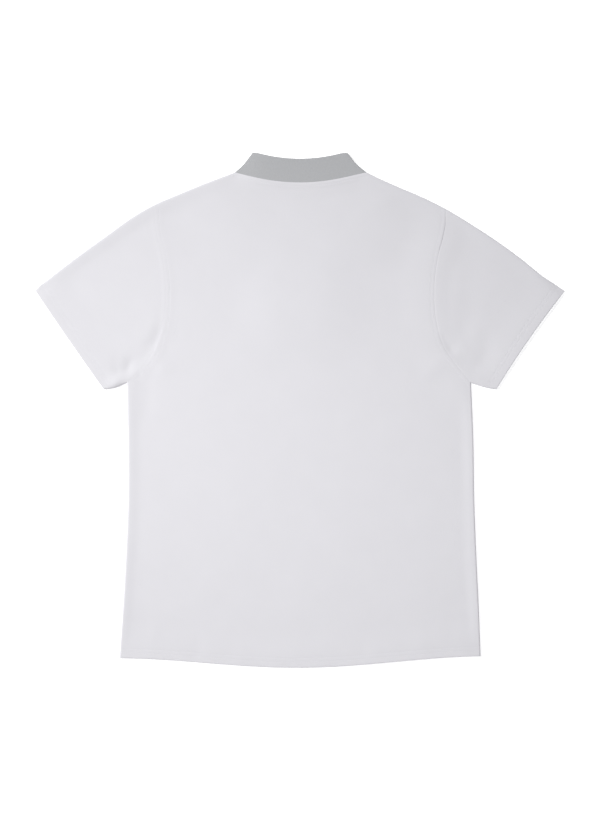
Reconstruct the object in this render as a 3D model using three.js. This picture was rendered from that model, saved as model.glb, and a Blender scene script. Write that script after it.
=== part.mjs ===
// A short-sleeved polo shirt with a knitted stand collar, laid flat on its front with its back up.
// Millimetres. +X is the wearer's right, +Y runs from the hem to the collar, +Z is up from the surface.
// The origin is on the surface, under the middle of the shirt's outline.
// Each piece that a maker cuts and sews is one closed wall of cloth, 0.3 mm from the next piece at its seam.
// The top layers share one height above the surface and the bottom layers another, and the two meet
// where the cloth rolls over: at the side seams, the shoulders, the sleeves and the collar's ends.
import * as THREE from "three";

// Walls
const CLOTH = 1.2;
const HEM_WALL = 2.3;
const RIB = 2.0;
const BAND = 1.0;
const SEAM_GAP = 0.3;
const HALF_GAP = SEAM_GAP / 2;

// Widths of the turned hems, of the placket and of the collar
const HEM_TURN = 15;
const SLEEVE_HEM_TURN = 20;
const HEM_STEP = 1;
const COLLAR_HEIGHT = 34;
const PLACKET_WIDTH = 30;
const PLACKET_LENGTH = 131;

// Landmarks of the outline, as distances from the centre line and heights along the back
const NECK = { x: 100, y: 367.7 };
const BACK_NECK_DROP = 16.6;
const FRONT_NECK_DROP = 80;
const COLLAR_CORNER = { x: 74, y: 399.7 };
const COLLAR_TOP_DROP = 11.5;
const COLLAR_HOLLOW = 2.4;
const SHOULDER_X = 226;
const UNDERARM_Y = 41;
const HEM_MIDDLE_Y = -399.7;
const HEM_FRONT_RISE = 10;
const HEM_CORNER_Y = { left: -385, right: -382 };
const HEM_ROUNDNESS = 1.8;
const SLEEVE_HEEL = { x: 304, y: 31 };
const UNDERARM_BOW = { left: 2.6, right: 1.6 };
const OPENING_BOW = { left: -1, right: 3.4 };

// Half widths down the side seams, on the wearer's left and right
const SIDE_SEAM = [
  { y: -385, left: 279.9, right: 280 },
  { y: -295, left: 273.8, right: 276.5 },
  { y: -233, left: 270.3, right: 273.5 },
  { y: -140, left: 266.6, right: 270 },
  { y: -45, left: 266.7, right: 268.5 },
  { y: 41, left: 268.4, right: 265 },
];

// Heights of the shoulder and overarm line, out from the collar to the tip of the sleeve
const OVERARM = [
  { x: 100, left: 367.7, right: 367.7 },
  { x: 150, left: 349, right: 345.6 },
  { x: 190, left: 332.6, right: 328.6 },
  { x: 226, left: 317, right: 310.5 },
  { x: 263, left: 295.8, right: 288.2 },
  { x: 300, left: 269, right: 264.1 },
  { x: 340, left: 240.4, right: 235.2 },
  { x: 375, left: 213.8, right: 207 },
  { x: 394, left: 198.5, right: 194.6 },
  { x: 410, left: 184, right: 183.5 },
];

// The back armhole, from just above the underarm to just below the shoulder
const ARMHOLE = [
  { x: 241, y: 70 },
  { x: 220, y: 103 },
  { x: 209, y: 150 },
  { x: 208.5, y: 200 },
  { x: 214, y: 240 },
  { x: 223, y: 278 },
];
const FRONT_ARMHOLE_DEEPER = 6;

// Heights of the top of the shirt above the surface
const LOFT = 4.4;
const NECK_LOFT = 6.8;
const HEM_LOFT = 5.5;
const CUFF_LOFT = 6.2;
const ROLL = 2.7;
const NECK_ROLL = 3.5;
const ROLL_EASES_OVER = 20;
const HEM_EASES_OVER = 60;
const NECK_REACH = { full: 120, none: 215 };
const PLACKET_REACH = { fullX: 30, noneX: 115, fullY: 150, noneY: 60 };

// The armhole's seam stands up on the body's side and falls away on the sleeve's side
const SEAM_RIDGE = { height: 0.9, flat: 7, ends: 17 };
const SEAM_HOLLOW = { depth: 0.7, deepest: 8, ends: 28 };

// Buttons, and the placket that stands on them
const BUTTON = { radius: 5.5, height: 2, rim: 0.4, hole: 0.8, holeFromCentre: 1.7, holes: 4 };
const BUTTONS_BELOW_COLLAR = [14, 64, 114];
const PLACKET_LIFT = BUTTON.height + SEAM_GAP;
const LIFT_X = { full: 12, none: 42 };
const LIFT_LOW_Y = { none: 112, full: 150 };
const LIFT_HIGH_Y = { full: 281, none: 325 };
const UNDER_BAND_RISE = CLOTH + SEAM_GAP;
const UNDER_BAND_LAP = 3;

// Soft folds in the top layer: a negative height is a trough
const FOLDS = [
  { x: -236, y: 103, angle: 62, length: 34, width: 9, height: -1.3 },
  { x: -262, y: 72, angle: 28, length: 42, width: 12, height: -0.8 },
  { x: -214, y: 66, angle: -48, length: 40, width: 12, height: 0.7 },
  { x: 230, y: 98, angle: 122, length: 36, width: 8, height: -1.2 },
  { x: 262, y: 66, angle: 150, length: 40, width: 13, height: -0.7 },
  { x: 206, y: 62, angle: 40, length: 44, width: 14, height: 0.6 },
];

const SIDES = [
  { name: "left", sign: -1 },
  { name: "right", sign: 1 },
];

const white = new THREE.MeshStandardMaterial({ color: 0xe9e9ee, roughness: 0.9, metalness: 0 });
const grey = new THREE.MeshStandardMaterial({ color: 0xb1b2b4, roughness: 0.95, metalness: 0 });
const pearl = new THREE.MeshStandardMaterial({ color: 0xf0efec, roughness: 0.35, metalness: 0 });

// 0 up to the first edge, 1 past the second, and smooth between
function smooth(from, to, at) {
  const s = Math.min(Math.max((at - from) / (to - from), 0), 1);
  return s * s * (3 - 2 * s);
}

const blend = (a, b, s) => a + (b - a) * s;

// A column of a table read between its rows, on a smooth curve through them
function follow(rows, key, column, at) {
  const last = rows.length - 1;
  const found = rows.findIndex((row) => row[key] >= at);
  const k = found < 0 ? last : Math.max(found, 1);
  const slope = (i) => {
    const before = rows[Math.max(i - 1, 0)];
    const after = rows[Math.min(i + 1, last)];
    return (after[column] - before[column]) / (after[key] - before[key]);
  };
  const [a, b] = [rows[k - 1], rows[k]];
  const width = b[key] - a[key];
  const s = (at - a[key]) / width;
  const u = 1 - s;
  return (
    (1 + 2 * s) * u * u * a[column] +
    s * u * u * width * slope(k - 1) +
    s * s * (3 - 2 * s) * b[column] -
    s * s * u * width * slope(k)
  );
}

// Distances from a fold at which a roll of that radius is cut, a twelfth of a turn apart
const ROLL_TURNS = [0, 30, 60, 90].map(THREE.MathUtils.degToRad);
const rollSteps = (radius) => ROLL_TURNS.map((turn) => radius * (1 - Math.cos(turn)));

// Distances along a seam from one fold to another: close at both ends, even between
function seamStations(length, between) {
  const near = [...rollSteps(ROLL), 9];
  const far = near.map((distance) => length - distance).reverse();
  const room = length - 2 * near.at(-1);
  const middle = Array.from({ length: between }, (_, k) => near.at(-1) + (room * (k + 1)) / (between + 1));
  return [...near, ...middle, ...far];
}

// The collar's plan. v runs from the neck seam at 0 to the free edge at 1.
function collarFold(v) {
  const along = { x: COLLAR_CORNER.x - NECK.x, y: COLLAR_CORNER.y - NECK.y };
  const hollow = (COLLAR_HOLLOW * Math.sin(Math.PI * v)) / Math.hypot(along.x, along.y);
  return new THREE.Vector2(NECK.x + along.x * v - along.y * hollow, NECK.y + along.y * v + along.x * hollow);
}

const backDrop = (v) => blend(BACK_NECK_DROP, COLLAR_TOP_DROP, v);

// s is 0 at the centre back and 1 at the fold
function collarBack(v, s) {
  const fold = collarFold(v);
  return new THREE.Vector2(fold.x * s, fold.y - backDrop(v) * (1 - s * s));
}

// From the fold down to the centre front. It leaves the fold as the back arrives there, mirrored in the fold.
function collarFront(v) {
  const fold = collarFold(v);
  const along = collarFold(1).sub(collarFold(0)).normalize();
  const arrives = new THREE.Vector2(fold.x, 2 * backDrop(v)).normalize();
  const leaves = along.clone().multiplyScalar(2 * arrives.dot(along)).sub(arrives);
  const end = new THREE.Vector2(blend(SEAM_GAP, 4, v * v), NECK.y - FRONT_NECK_DROP + COLLAR_HEIGHT * v);
  const steep = fold.clone().addScaledVector(leaves, 42);
  const level = new THREE.Vector2(end.x + blend(48, 32, v), end.y);
  return new THREE.CubicBezierCurve(fold, steep, level, end);
}

// Where a curve that runs towards the centre line crosses a distance from it
function crossing(curve, x) {
  let [low, high] = [0, 1];
  for (let step = 0; step < 40; step++) {
    const middle = (low + high) / 2;
    if (curve.getPoint(middle).x > x) low = middle;
    else high = middle;
  }
  return low;
}

const BACK_PARTS = 4;
const FRONT_PARTS = 5;
const NECK_STEPS = rollSteps(NECK_ROLL);

// The collar's stations at one v, from the centre back to the fold, and from the fold to the centre front
function backStations(v) {
  const pace = Math.hypot(collarFold(v).x, 2 * backDrop(v));
  const near = NECK_STEPS.map((distance) => 1 - distance / pace).reverse();
  const even = Array.from({ length: BACK_PARTS }, (_, k) => (near[0] * k) / BACK_PARTS);
  return [...even, ...near].map((s) => collarBack(v, s));
}

function frontStations(v) {
  const curve = collarFront(v);
  const near = NECK_STEPS.map((distance) => curve.getUtoTmapping(0, distance));
  const atPlacket = crossing(collarFront(0), PLACKET_WIDTH / 2);
  const share = (k) => (k + 1) / FRONT_PARTS;
  const even = Array.from({ length: FRONT_PARTS }, (_, k) => blend(near.at(-1), atPlacket, share(k)));
  return [...near, ...even, 1].map((t) => curve.getPoint(t));
}

// The shoulder, from the collar to the armhole
const SHOULDER_PARTS = [22, 44, 66, 86];
const EDGE_STEPS = [...rollSteps(ROLL), 9, 20];

function shoulderStations(side) {
  const near = EDGE_STEPS.map((distance) => SHOULDER_X - distance).reverse();
  const xs = [...SHOULDER_PARTS.map((out) => NECK.x + out), ...near];
  return xs.map((x) => new THREE.Vector2(x, follow(OVERARM, "x", side.name, x)));
}

// The armhole, from the underarm to the shoulder, for the back or the front
const ARMHOLE_PARTS = 7;

function armholeStations(side, deeper) {
  const underarm = new THREE.Vector2(follow(SIDE_SEAM, "y", side.name, UNDERARM_Y), UNDERARM_Y);
  const shoulder = new THREE.Vector2(SHOULDER_X, follow(OVERARM, "x", side.name, SHOULDER_X));
  const last = ARMHOLE.length - 1;
  const middle = ARMHOLE.map(
    ({ x, y }, k) => new THREE.Vector2(x - deeper * Math.sin((Math.PI * (k + 0.5)) / (last + 1)), y),
  );
  const curve = new THREE.SplineCurve([underarm, ...middle, shoulder]);
  const length = curve.getLength();
  return seamStations(length, ARMHOLE_PARTS).map((distance) => curve.getPointAt(distance / length));
}

// Directions across a seam, in plan, at each of its points
function acrossSeam(points) {
  return points.map((_, k) => {
    const along = points[Math.min(k + 1, points.length - 1)].clone().sub(points[Math.max(k - 1, 0)]);
    return new THREE.Vector2(along.y, -along.x).normalize();
  });
}

// Heights of the rows of the body below the underarm, up from the hem
const BODY_ROWS = [0, HEM_TURN, HEM_TURN + HEM_STEP, 60, 110, 160, 210, 260, 310, 360, 400];

const seams = Object.fromEntries(
  SIDES.map((side) => {
    const corner = HEM_CORNER_Y[side.name];
    const levels = [...BODY_ROWS.map((up) => corner + up), UNDERARM_Y];
    const edge = levels.map((y) => new THREE.Vector2(follow(SIDE_SEAM, "y", side.name, y), y));
    const shoulder = shoulderStations(side);
    const back = armholeStations(side, 0);
    const front = armholeStations(side, FRONT_ARMHOLE_DEEPER);
    return [side.name, { edge, shoulder, back, front }];
  }),
);

// The sleeve, as a patch between the armhole, the opening and the two folds.
// a counts the stations up the armhole; w is 0 at the armhole and 1 at the opening.
const SLEEVE_PARTS = [0, 0.04, 0.12, 0.25, 0.42, 0.62, 0.82, 1];

function sleevePatch(side, armhole) {
  const tipX = OVERARM.at(-1).x;
  const tip = new THREE.Vector2(tipX, follow(OVERARM, "x", side.name, tipX));
  const heel = new THREE.Vector2(SLEEVE_HEEL.x, SLEEVE_HEEL.y);
  const opening = new THREE.QuadraticBezierCurve(
    heel,
    heel.clone().add(tip).multiplyScalar(0.5).add(new THREE.Vector2(-2 * OPENING_BOW[side.name], 0)),
    tip,
  );
  const length = opening.getLength();
  const stations = seamStations(length, ARMHOLE_PARTS);
  const mouth = stations.map((distance) => opening.getPointAt(distance / length));
  const under = (w) => {
    const bow = UNDERARM_BOW[side.name] * Math.sin(Math.PI * w);
    return armhole[0].clone().lerp(heel, w).sub(new THREE.Vector2(0, bow));
  };
  const over = (w) => {
    const x = blend(SHOULDER_X, tipX, w);
    return new THREE.Vector2(x, follow(OVERARM, "x", side.name, x));
  };
  const point = (a, w) => {
    const share = stations[a] / length;
    const ruled = armhole[a].clone().lerp(mouth[a], w);
    const low = under(w).sub(armhole[0].clone().lerp(heel, w));
    const high = over(w).sub(armhole.at(-1).clone().lerp(tip, w));
    return ruled.addScaledVector(low, 1 - share).addScaledVector(high, share);
  };
  // The last stations keep the hem's width; the others share the rest of the length.
  return armhole.map((_, a) => {
    const run = armhole[a].distanceTo(mouth[a]);
    const plain = 1 - (SLEEVE_HEM_TURN + HEM_STEP) / run;
    const shares = [...SLEEVE_PARTS.map((part) => part * plain), 1 - SLEEVE_HEM_TURN / run, 1];
    return shares.map((w) => point(a, w));
  });
}

for (const side of SIDES) {
  const seam = seams[side.name];
  seam.sleeveTop = sleevePatch(side, seam.back);
  seam.sleeveBottom = sleevePatch(side, seam.front);
}

// Every line where the cloth rolls over, in plan, with its own side's sign
const COLLAR_ROWS = [SEAM_GAP / COLLAR_HEIGHT, 0.2, 0.45, 0.7, 0.9, 1];
const foldLines = SIDES.flatMap((side) => {
  const seam = seams[side.name];
  const neck = new THREE.Vector2(NECK.x, NECK.y);
  const lines = [
    [...seam.edge, ...seam.sleeveTop[0].slice(1)],
    [[0, ...COLLAR_ROWS].map(collarFold).reverse(), neck, seam.shoulder, seam.sleeveTop.at(-1).slice(1)].flat(),
  ];
  return lines.map((line) => line.map((p) => new THREE.Vector2(p.x * side.sign, p.y)));
});

function distanceToSegment(x, y, a, b) {
  const [dx, dy] = [b.x - a.x, b.y - a.y];
  const length = dx * dx + dy * dy || 1;
  const s = Math.min(Math.max(((x - a.x) * dx + (y - a.y) * dy) / length, 0), 1);
  return Math.hypot(x - a.x - s * dx, y - a.y - s * dy);
}

function distanceToLine(x, y, line) {
  let least = Infinity;
  for (let k = 1; k < line.length; k++) least = Math.min(least, distanceToSegment(x, y, line[k - 1], line[k]));
  return least;
}

const foldDistance = (x, y) => Math.min(...foldLines.map((line) => distanceToLine(x, y, line)));

// The hem, in plan: level with its corners at the side seams and lowest at the middle
function hemLine(x, rise) {
  const side = x < 0 ? "left" : "right";
  const half = follow(SIDE_SEAM, "y", side, HEM_CORNER_Y[side]);
  const corners = (HEM_CORNER_Y.left + HEM_CORNER_Y.right) / 2;
  const level = blend(corners, HEM_CORNER_Y[side], Math.min(Math.abs(x) / half, 1));
  const dip = corners - HEM_MIDDLE_Y - rise;
  return level - dip * Math.cos((Math.PI / 2) * Math.min(Math.abs(x) / half, 1)) ** HEM_ROUNDNESS;
}

// How near a point is to the neck, to the placket, and to a sleeve's opening: 1 at it and 0 out of reach
const neckNear = (x, y) => 1 - smooth(NECK_REACH.full, NECK_REACH.none, Math.hypot(x, y - NECK.y));

function placketNear(x, y) {
  const aside = 1 - smooth(PLACKET_REACH.fullX, PLACKET_REACH.noneX, Math.abs(x));
  return aside * smooth(PLACKET_REACH.noneY, PLACKET_REACH.fullY, y);
}

const rollRadius = (x, y) => blend(ROLL, NECK_ROLL, neckNear(x, y));

function cuffNear(x, y) {
  const side = x < 0 ? "left" : "right";
  const tip = seams[side].sleeveTop.at(-1).at(-1);
  const heel = seams[side].sleeveTop[0].at(-1);
  const off = distanceToSegment(Math.abs(x), y, heel, tip);
  return 1 - smooth(0, HEM_EASES_OVER, off);
}

// The armhole seam's ridge, by how far a point is from it on the body's side or the sleeve's
function seamRidge(x, y) {
  const line = seams[x < 0 ? "left" : "right"].back;
  const off = distanceToLine(Math.abs(x), y, line);
  if (off > SEAM_HOLLOW.ends) return 0;
  const at = line.reduce((best, p) => (Math.abs(p.y - y) < Math.abs(best.y - y) ? p : best));
  const onSleeve = y < UNDERARM_Y + 60 ? Math.abs(x) - at.x > 0 && y > UNDERARM_Y - 30 : Math.abs(x) > at.x;
  if (!onSleeve) return SEAM_RIDGE.height * (1 - smooth(SEAM_RIDGE.flat, SEAM_RIDGE.ends, off));
  const falls = blend(SEAM_RIDGE.height, -SEAM_HOLLOW.depth, smooth(0, SEAM_HOLLOW.deepest, off));
  return falls * (1 - smooth(SEAM_HOLLOW.deepest, SEAM_HOLLOW.ends, off));
}

function folds(x, y) {
  return FOLDS.reduce((sum, fold) => {
    const turn = THREE.MathUtils.degToRad(fold.angle);
    const along = (x - fold.x) * Math.cos(turn) + (y - fold.y) * Math.sin(turn);
    const aside = (y - fold.y) * Math.cos(turn) - (x - fold.x) * Math.sin(turn);
    return sum + fold.height * Math.exp(-((along / fold.length) ** 2) * 4 - (aside / fold.width) ** 2);
  }, 0);
}

// Outer face of the top layers, away from the folds
function loft(x, y) {
  const raised = blend(LOFT, NECK_LOFT, Math.max(neckNear(x, y), placketNear(x, y)));
  const hem = (HEM_LOFT - LOFT) * (1 - smooth(HEM_TURN, HEM_EASES_OVER, y - hemLine(x, 0)));
  const cuff = (CUFF_LOFT - LOFT) * cuffNear(x, y);
  return raised + hem + cuff + seamRidge(x, y) + folds(x, y);
}

const roundOver = (distance, radius) => Math.sqrt(Math.max(0, 1 - (1 - Math.min(distance / radius, 1)) ** 2));

function topHeight(x, y, gap = HALF_GAP) {
  const distance = foldDistance(x, y);
  const radius = rollRadius(x, y);
  if (distance < radius) return radius + gap + (radius - gap) * roundOver(distance, radius);
  const eased = 1 - smooth(0, ROLL_EASES_OVER, distance - radius);
  return blend(loft(x, y), 2 * radius, eased);
}

// Outer face of the bottom layers: on the surface, apart from the rolls and the placket on its buttons
function lift(x, y) {
  const aside = 1 - smooth(LIFT_X.full, LIFT_X.none, Math.abs(x));
  const low = smooth(LIFT_LOW_Y.none, LIFT_LOW_Y.full, y);
  return PLACKET_LIFT * aside * low * (1 - smooth(LIFT_HIGH_Y.full, LIFT_HIGH_Y.none, y));
}

function bottomHeight(x, y, gap = HALF_GAP) {
  const distance = foldDistance(x, y);
  const radius = rollRadius(x, y);
  if (distance < radius) return radius - gap - (radius - gap) * roundOver(distance, radius);
  return lift(x, y);
}

// A closed wall of cloth. grid holds its outer face; sign says which way that faces.
// across gives the directions that the wall's edge is square to; cloth says which cells are filled.
function clothWall(grid, thickness, { sign = 1, ring = false, across = () => [], cloth = () => true } = {}) {
  const [rows, columns] = [grid.length, grid[0].length];
  const at = (i, j) => {
    const column = ring ? (j + columns) % columns : Math.min(Math.max(j, 0), columns - 1);
    return grid[Math.min(Math.max(i, 0), rows - 1)][column];
  };
  const inner = grid.map((row, i) =>
    row.map((point, j) => {
      const up = at(i + 1, j).clone().sub(at(i - 1, j));
      const along = at(i, j + 1).clone().sub(at(i, j - 1));
      const normal = up.cross(along).normalize().multiplyScalar(sign);
      for (const direction of across(i, j)) {
        normal.addScaledVector(direction, -normal.dot(direction)).normalize();
      }
      const wall = typeof thickness === "function" ? thickness(i, j) : thickness;
      return point.clone().addScaledVector(normal, -wall);
    }),
  );
  const positions = [grid, inner].flatMap((face) => face.flatMap((row) => row.flatMap((p) => [p.x, p.y, p.z])));
  const outerIndex = (i, j) => i * columns + (j % columns);
  const innerIndex = (i, j) => rows * columns + outerIndex(i, j);
  const cellColumns = ring ? columns : columns - 1;
  const filled = (i, j) => {
    const column = ring ? (j + columns) % columns : j;
    return i >= 0 && i < rows - 1 && column >= 0 && column < cellColumns && cloth(i, column);
  };
  const triangles = [];
  const add = (a, b, c) => triangles.push(...(sign > 0 ? [a, b, c] : [a, c, b]));
  for (let i = 0; i < rows - 1; i++) {
    for (let j = 0; j < cellColumns; j++) {
      if (!filled(i, j)) continue;
      const corners = [[i, j], [i + 1, j], [i + 1, j + 1], [i, j + 1]];
      const [a, b, c, d] = corners.map((corner) => outerIndex(...corner));
      const [e, f, g, h] = corners.map((corner) => innerIndex(...corner));
      add(a, b, c);
      add(a, c, d);
      add(e, g, f);
      add(e, h, g);
      const beside = [filled(i, j - 1), filled(i + 1, j), filled(i, j + 1), filled(i - 1, j)];
      const edges = [[a, b, e, f], [b, c, f, g], [c, d, g, h], [d, a, h, e]];
      edges.forEach(([p, q, pIn, qIn], k) => {
        if (beside[k]) return;
        add(q, p, pIn);
        add(q, pIn, qIn);
      });
    }
  }
  const geometry = new THREE.BufferGeometry();
  geometry.setAttribute("position", new THREE.Float32BufferAttribute(positions, 3));
  geometry.setIndex(triangles);
  geometry.computeVertexNormals();
  return geometry;
}

const UP = new THREE.Vector3(0, 0, 1);
const NORTH = new THREE.Vector3(0, 1, 0);
const EAST = new THREE.Vector3(1, 0, 0);
const plan = (vector, sign = 1) => new THREE.Vector3(vector.x * sign, vector.y, 0);

// One half of a body panel, out from the centre line: rows up from the hem, each a list of plan points.
// Its outer edge is the side seam and then the armhole; its top row is the neckline and the shoulder.
function bodyHalf(side, panel, topLine, hemRise) {
  const below = seams[side.name].edge.slice(0, -1);
  const armhole = seams[side.name][panel];
  const outerEdge = [...below, ...armhole];
  const last = outerEdge.length - 1;
  // On the centre line, a row is as high as the mean of its two ends.
  const middles = outerEdge.map((_, row) => {
    const [a, b] = SIDES.map(({ name }) => [...seams[name].edge.slice(0, -1), ...seams[name][panel]][row].y);
    return (a + b) / 2;
  });
  // Columns keep their distance beside the slit and along the outer edge. Those between are
  // spread evenly over the hem, and as the neckline and the shoulder have them at the top.
  const topX = topLine.map((p) => p.x);
  const firstFree = panel === "front" ? topX.findIndex((x) => x >= PLACKET_WIDTH / 2 - 1e-3) : 0;
  const firstAtEdge = topLine.length - EDGE_STEPS.length;
  const room = (row) => outerEdge[row].x - EDGE_STEPS.at(-1) - topX[firstFree];
  const evenShare = (k) => (k - firstFree) / (firstAtEdge - firstFree);
  const topShare = (k) => (topX[k] - topX[firstFree]) / room(last);
  return outerEdge.map((end, row) => {
    const climbed = Math.max(0, (middles[row] - UNDERARM_Y) / (middles[last] - UNDERARM_Y));
    const sunk = Math.max(0, (UNDERARM_Y - middles[row]) / (UNDERARM_Y - middles[0]));
    const level = (at, share) => blend(middles[at], outerEdge[at].y, share);
    const points = topLine.map((top, k) => {
      const freeShare = blend(evenShare(k), topShare(k), smooth(0, 1, climbed));
      let x = topX[firstFree] + room(row) * freeShare;
      if (k <= firstFree) x = topX[k];
      if (k >= firstAtEdge) x = end.x - EDGE_STEPS[topLine.length - 1 - k];
      const share = x / end.x;
      const rise = top.y - level(last, top.x / outerEdge[last].x);
      const dip = hemLine(side.sign * share * outerEdge[0].x, hemRise) - level(0, share);
      return new THREE.Vector2(x, level(row, share) + climbed * rise + sunk * dip);
    });
    // At the armhole the panel ends half a seam's gap short; at its two ends that is along the fold.
    const station = row - below.length;
    if (station >= 0) {
      const shift = acrossSeam(armhole)[station].multiplyScalar(-HALF_GAP);
      if (station === 0) shift.copy(below.at(-1)).sub(end).setLength(1.5 * HALF_GAP);
      if (row === last) shift.copy(topLine.at(-2)).sub(end).setLength(HALF_GAP);
      points.at(-1).add(shift);
    }
    return points;
  });
}

// A whole body panel: its rows, and the directions that its edges are square to
function bodyPanel(panel, hemRise) {
  const neckline = panel === "back" ? backStations(0) : frontStations(0).slice(0, -1).reverse();
  const front = panel === "front";
  const centre = front ? [new THREE.Vector2(0, NECK.y - FRONT_NECK_DROP)] : [];
  const halves = SIDES.map((side) => {
    const line = [...centre, ...neckline, ...seams[side.name].shoulder];
    return { line, rows: bodyHalf(side, panel, line, hemRise) };
  });
  const [left, right] = halves;
  const count = left.line.length;
  const height = front ? bottomHeight : topHeight;
  const place = (p, sign) => new THREE.Vector3(p.x * sign, p.y, height(p.x * sign, p.y));
  const grid = left.rows.map((row, i) => [
    ...row.slice(1).reverse().map((p) => place(p, -1)),
    ...right.rows[i].map((p) => place(p, 1)),
  ]);
  const middle = count - 1;
  const neckEnd = centre.length + neckline.length - 1;
  const acrossNeck = acrossSeam([...centre, ...neckline]);
  const below = seams.left.edge.length - 1;
  const across = (i, j) => {
    const k = Math.abs(j - middle);
    const sign = j < middle ? -1 : 1;
    const side = sign < 0 ? "left" : "right";
    const found = [];
    if (k === middle && i < below) found.push(UP);
    if (k === middle && i >= below) {
      found.push(plan(acrossSeam(seams[side][panel])[i - below], sign));
      if (i === below || i === grid.length - 1) found.push(UP);
    }
    if (i === grid.length - 1 && k < middle) {
      if (k >= neckEnd) found.push(UP);
      if (k <= neckEnd) found.push(plan(acrossNeck[k], sign));
    }
    return found;
  };
  return { grid, across, middle };
}

const hemWall = (i) => (i <= 1 ? HEM_WALL : CLOTH);

function namedMesh(name, geometry, material) {
  const mesh = new THREE.Mesh(geometry, material);
  mesh.name = name;
  return mesh;
}

const back = bodyPanel("back", 0);
const front = bodyPanel("front", HEM_FRONT_RISE);

// The slit for the placket: the two middle columns of cells, down to the row nearest its length
const slitTop = NECK.y - FRONT_NECK_DROP;
const slitRow = front.grid.reduce((best, row, i) => {
  const miss = (k) => Math.abs(front.grid[k][front.middle].y - (slitTop - PLACKET_LENGTH));
  return miss(i) < miss(best) ? i : best;
}, 0);
const inSlit = (i, j) => i >= slitRow && (j === front.middle - 1 || j === front.middle);

// The front's edges are also square along the slit.
function acrossFront(i, j) {
  const found = front.across(i, j);
  if (i >= slitRow && Math.abs(j - front.middle) === 1) found.push(EAST);
  if (i === slitRow && Math.abs(j - front.middle) <= 1) found.push(NORTH);
  return found;
}

const shirt = new THREE.Group();
shirt.add(namedMesh("back_panel", clothWall(back.grid, hemWall, { sign: -1, across: back.across }), white));
shirt.add(
  namedMesh(
    "front_panel",
    clothWall(front.grid, hemWall, { across: acrossFront, cloth: (i, j) => !inSlit(i, j) }),
    white,
  ),
);

// Sleeves: rings from the armhole to the opening, each over the top from underarm to shoulder and back below
function sleeve(side) {
  const seam = seams[side.name];
  const count = seam.sleeveTop.length;
  const outward = { top: acrossSeam(seam.back), bottom: acrossSeam(seam.front) };
  const over = seam.sleeveTop.map((line, a) => ({ line, across: outward.top[a], height: topHeight, a }));
  const under = seam.sleeveBottom.map((line, a) => ({ line, across: outward.bottom[a], height: bottomHeight, a }));
  const around = [...over, ...under.slice(1, -1).reverse()];
  const stations = seam.sleeveTop[0].length;
  const grid = Array.from({ length: stations }, (_, i) =>
    around.map(({ line, across, height, a }) => {
      const p = line[i].clone();
      const atFold = a === 0 || a === count - 1;
      if (i === 0 && atFold) {
        const step = a === 0 ? 1.5 * HALF_GAP : HALF_GAP;
        p.add(line[1].clone().sub(line[0]).setLength(step));
      } else if (i === 0) p.addScaledVector(across, HALF_GAP);
      const x = p.x * side.sign;
      return new THREE.Vector3(x, p.y, atFold ? rollRadius(x, p.y) : height(x, p.y));
    }),
  );
  return clothWall(grid, (i) => (i >= stations - 2 ? HEM_WALL : CLOTH), {
    sign: side.sign,
    ring: true,
    across: (i, j) => (i === 0 ? [plan(around[j].across, side.sign)] : []),
  });
}

for (const side of SIDES) shirt.add(namedMesh(`sleeve_${side.name}`, sleeve(side), white));

// The collar: one band from the centre front, round the back and to the centre front again
function collar() {
  const foldAt = backStations(0).length - 1;
  const middle = foldAt + frontStations(0).length - 1;
  const backAcross = acrossSeam(backStations(0));
  const frontAcross = acrossSeam(frontStations(0));
  const grid = COLLAR_ROWS.map((v) => {
    const half = [...backStations(v), ...frontStations(v).slice(1)];
    const place = (p, k, sign) => {
      const height = k < foldAt ? topHeight : bottomHeight;
      return new THREE.Vector3(p.x * sign, p.y, k === foldAt ? rollRadius(p.x, p.y) : height(p.x * sign, p.y));
    };
    const [left, right] = [-1, 1].map((sign) => half.map((p, k) => place(p, k, sign)));
    return [...left.slice(1).reverse(), ...right];
  });
  const across = (i, j) => {
    if (i > 0) return [];
    const k = Math.abs(j - middle);
    const sign = j < middle ? -1 : 1;
    return [plan(k <= foldAt ? backAcross[k] : frontAcross[k - foldAt], sign)];
  };
  return clothWall(grid, RIB, { sign: -1, across });
}

shirt.add(namedMesh("collar", collar(), grey));

// The placket's two bands, on the rows of the slit: the upper one outside, the under one inside and lapped
function placketBand(fromX, toX, rise) {
  const columns = [0, 0.25, 0.5, 0.75, 1].map((s) => blend(fromX, toX, s));
  const grid = front.grid.slice(slitRow).map((row, k) =>
    columns.map((x) => {
      const beside = row[front.middle + Math.sign(x)];
      const y = blend(row[front.middle].y, beside.y, x / (beside.x || 1)) + (k === 0 ? SEAM_GAP : 0);
      return new THREE.Vector3(x, y, lift(x, y) + rise);
    }),
  );
  return clothWall(grid, BAND, { across: (i) => (i === 0 || i === grid.length - 1 ? [NORTH] : []) });
}

const halfSlit = PLACKET_WIDTH / 2;
shirt.add(namedMesh("placket_upper", placketBand(-halfSlit + SEAM_GAP, halfSlit - SEAM_GAP, 0), white));
const underBand = placketBand(-halfSlit, halfSlit + UNDER_BAND_LAP, UNDER_BAND_RISE);
shirt.add(namedMesh("placket_under", underBand, white));

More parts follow.
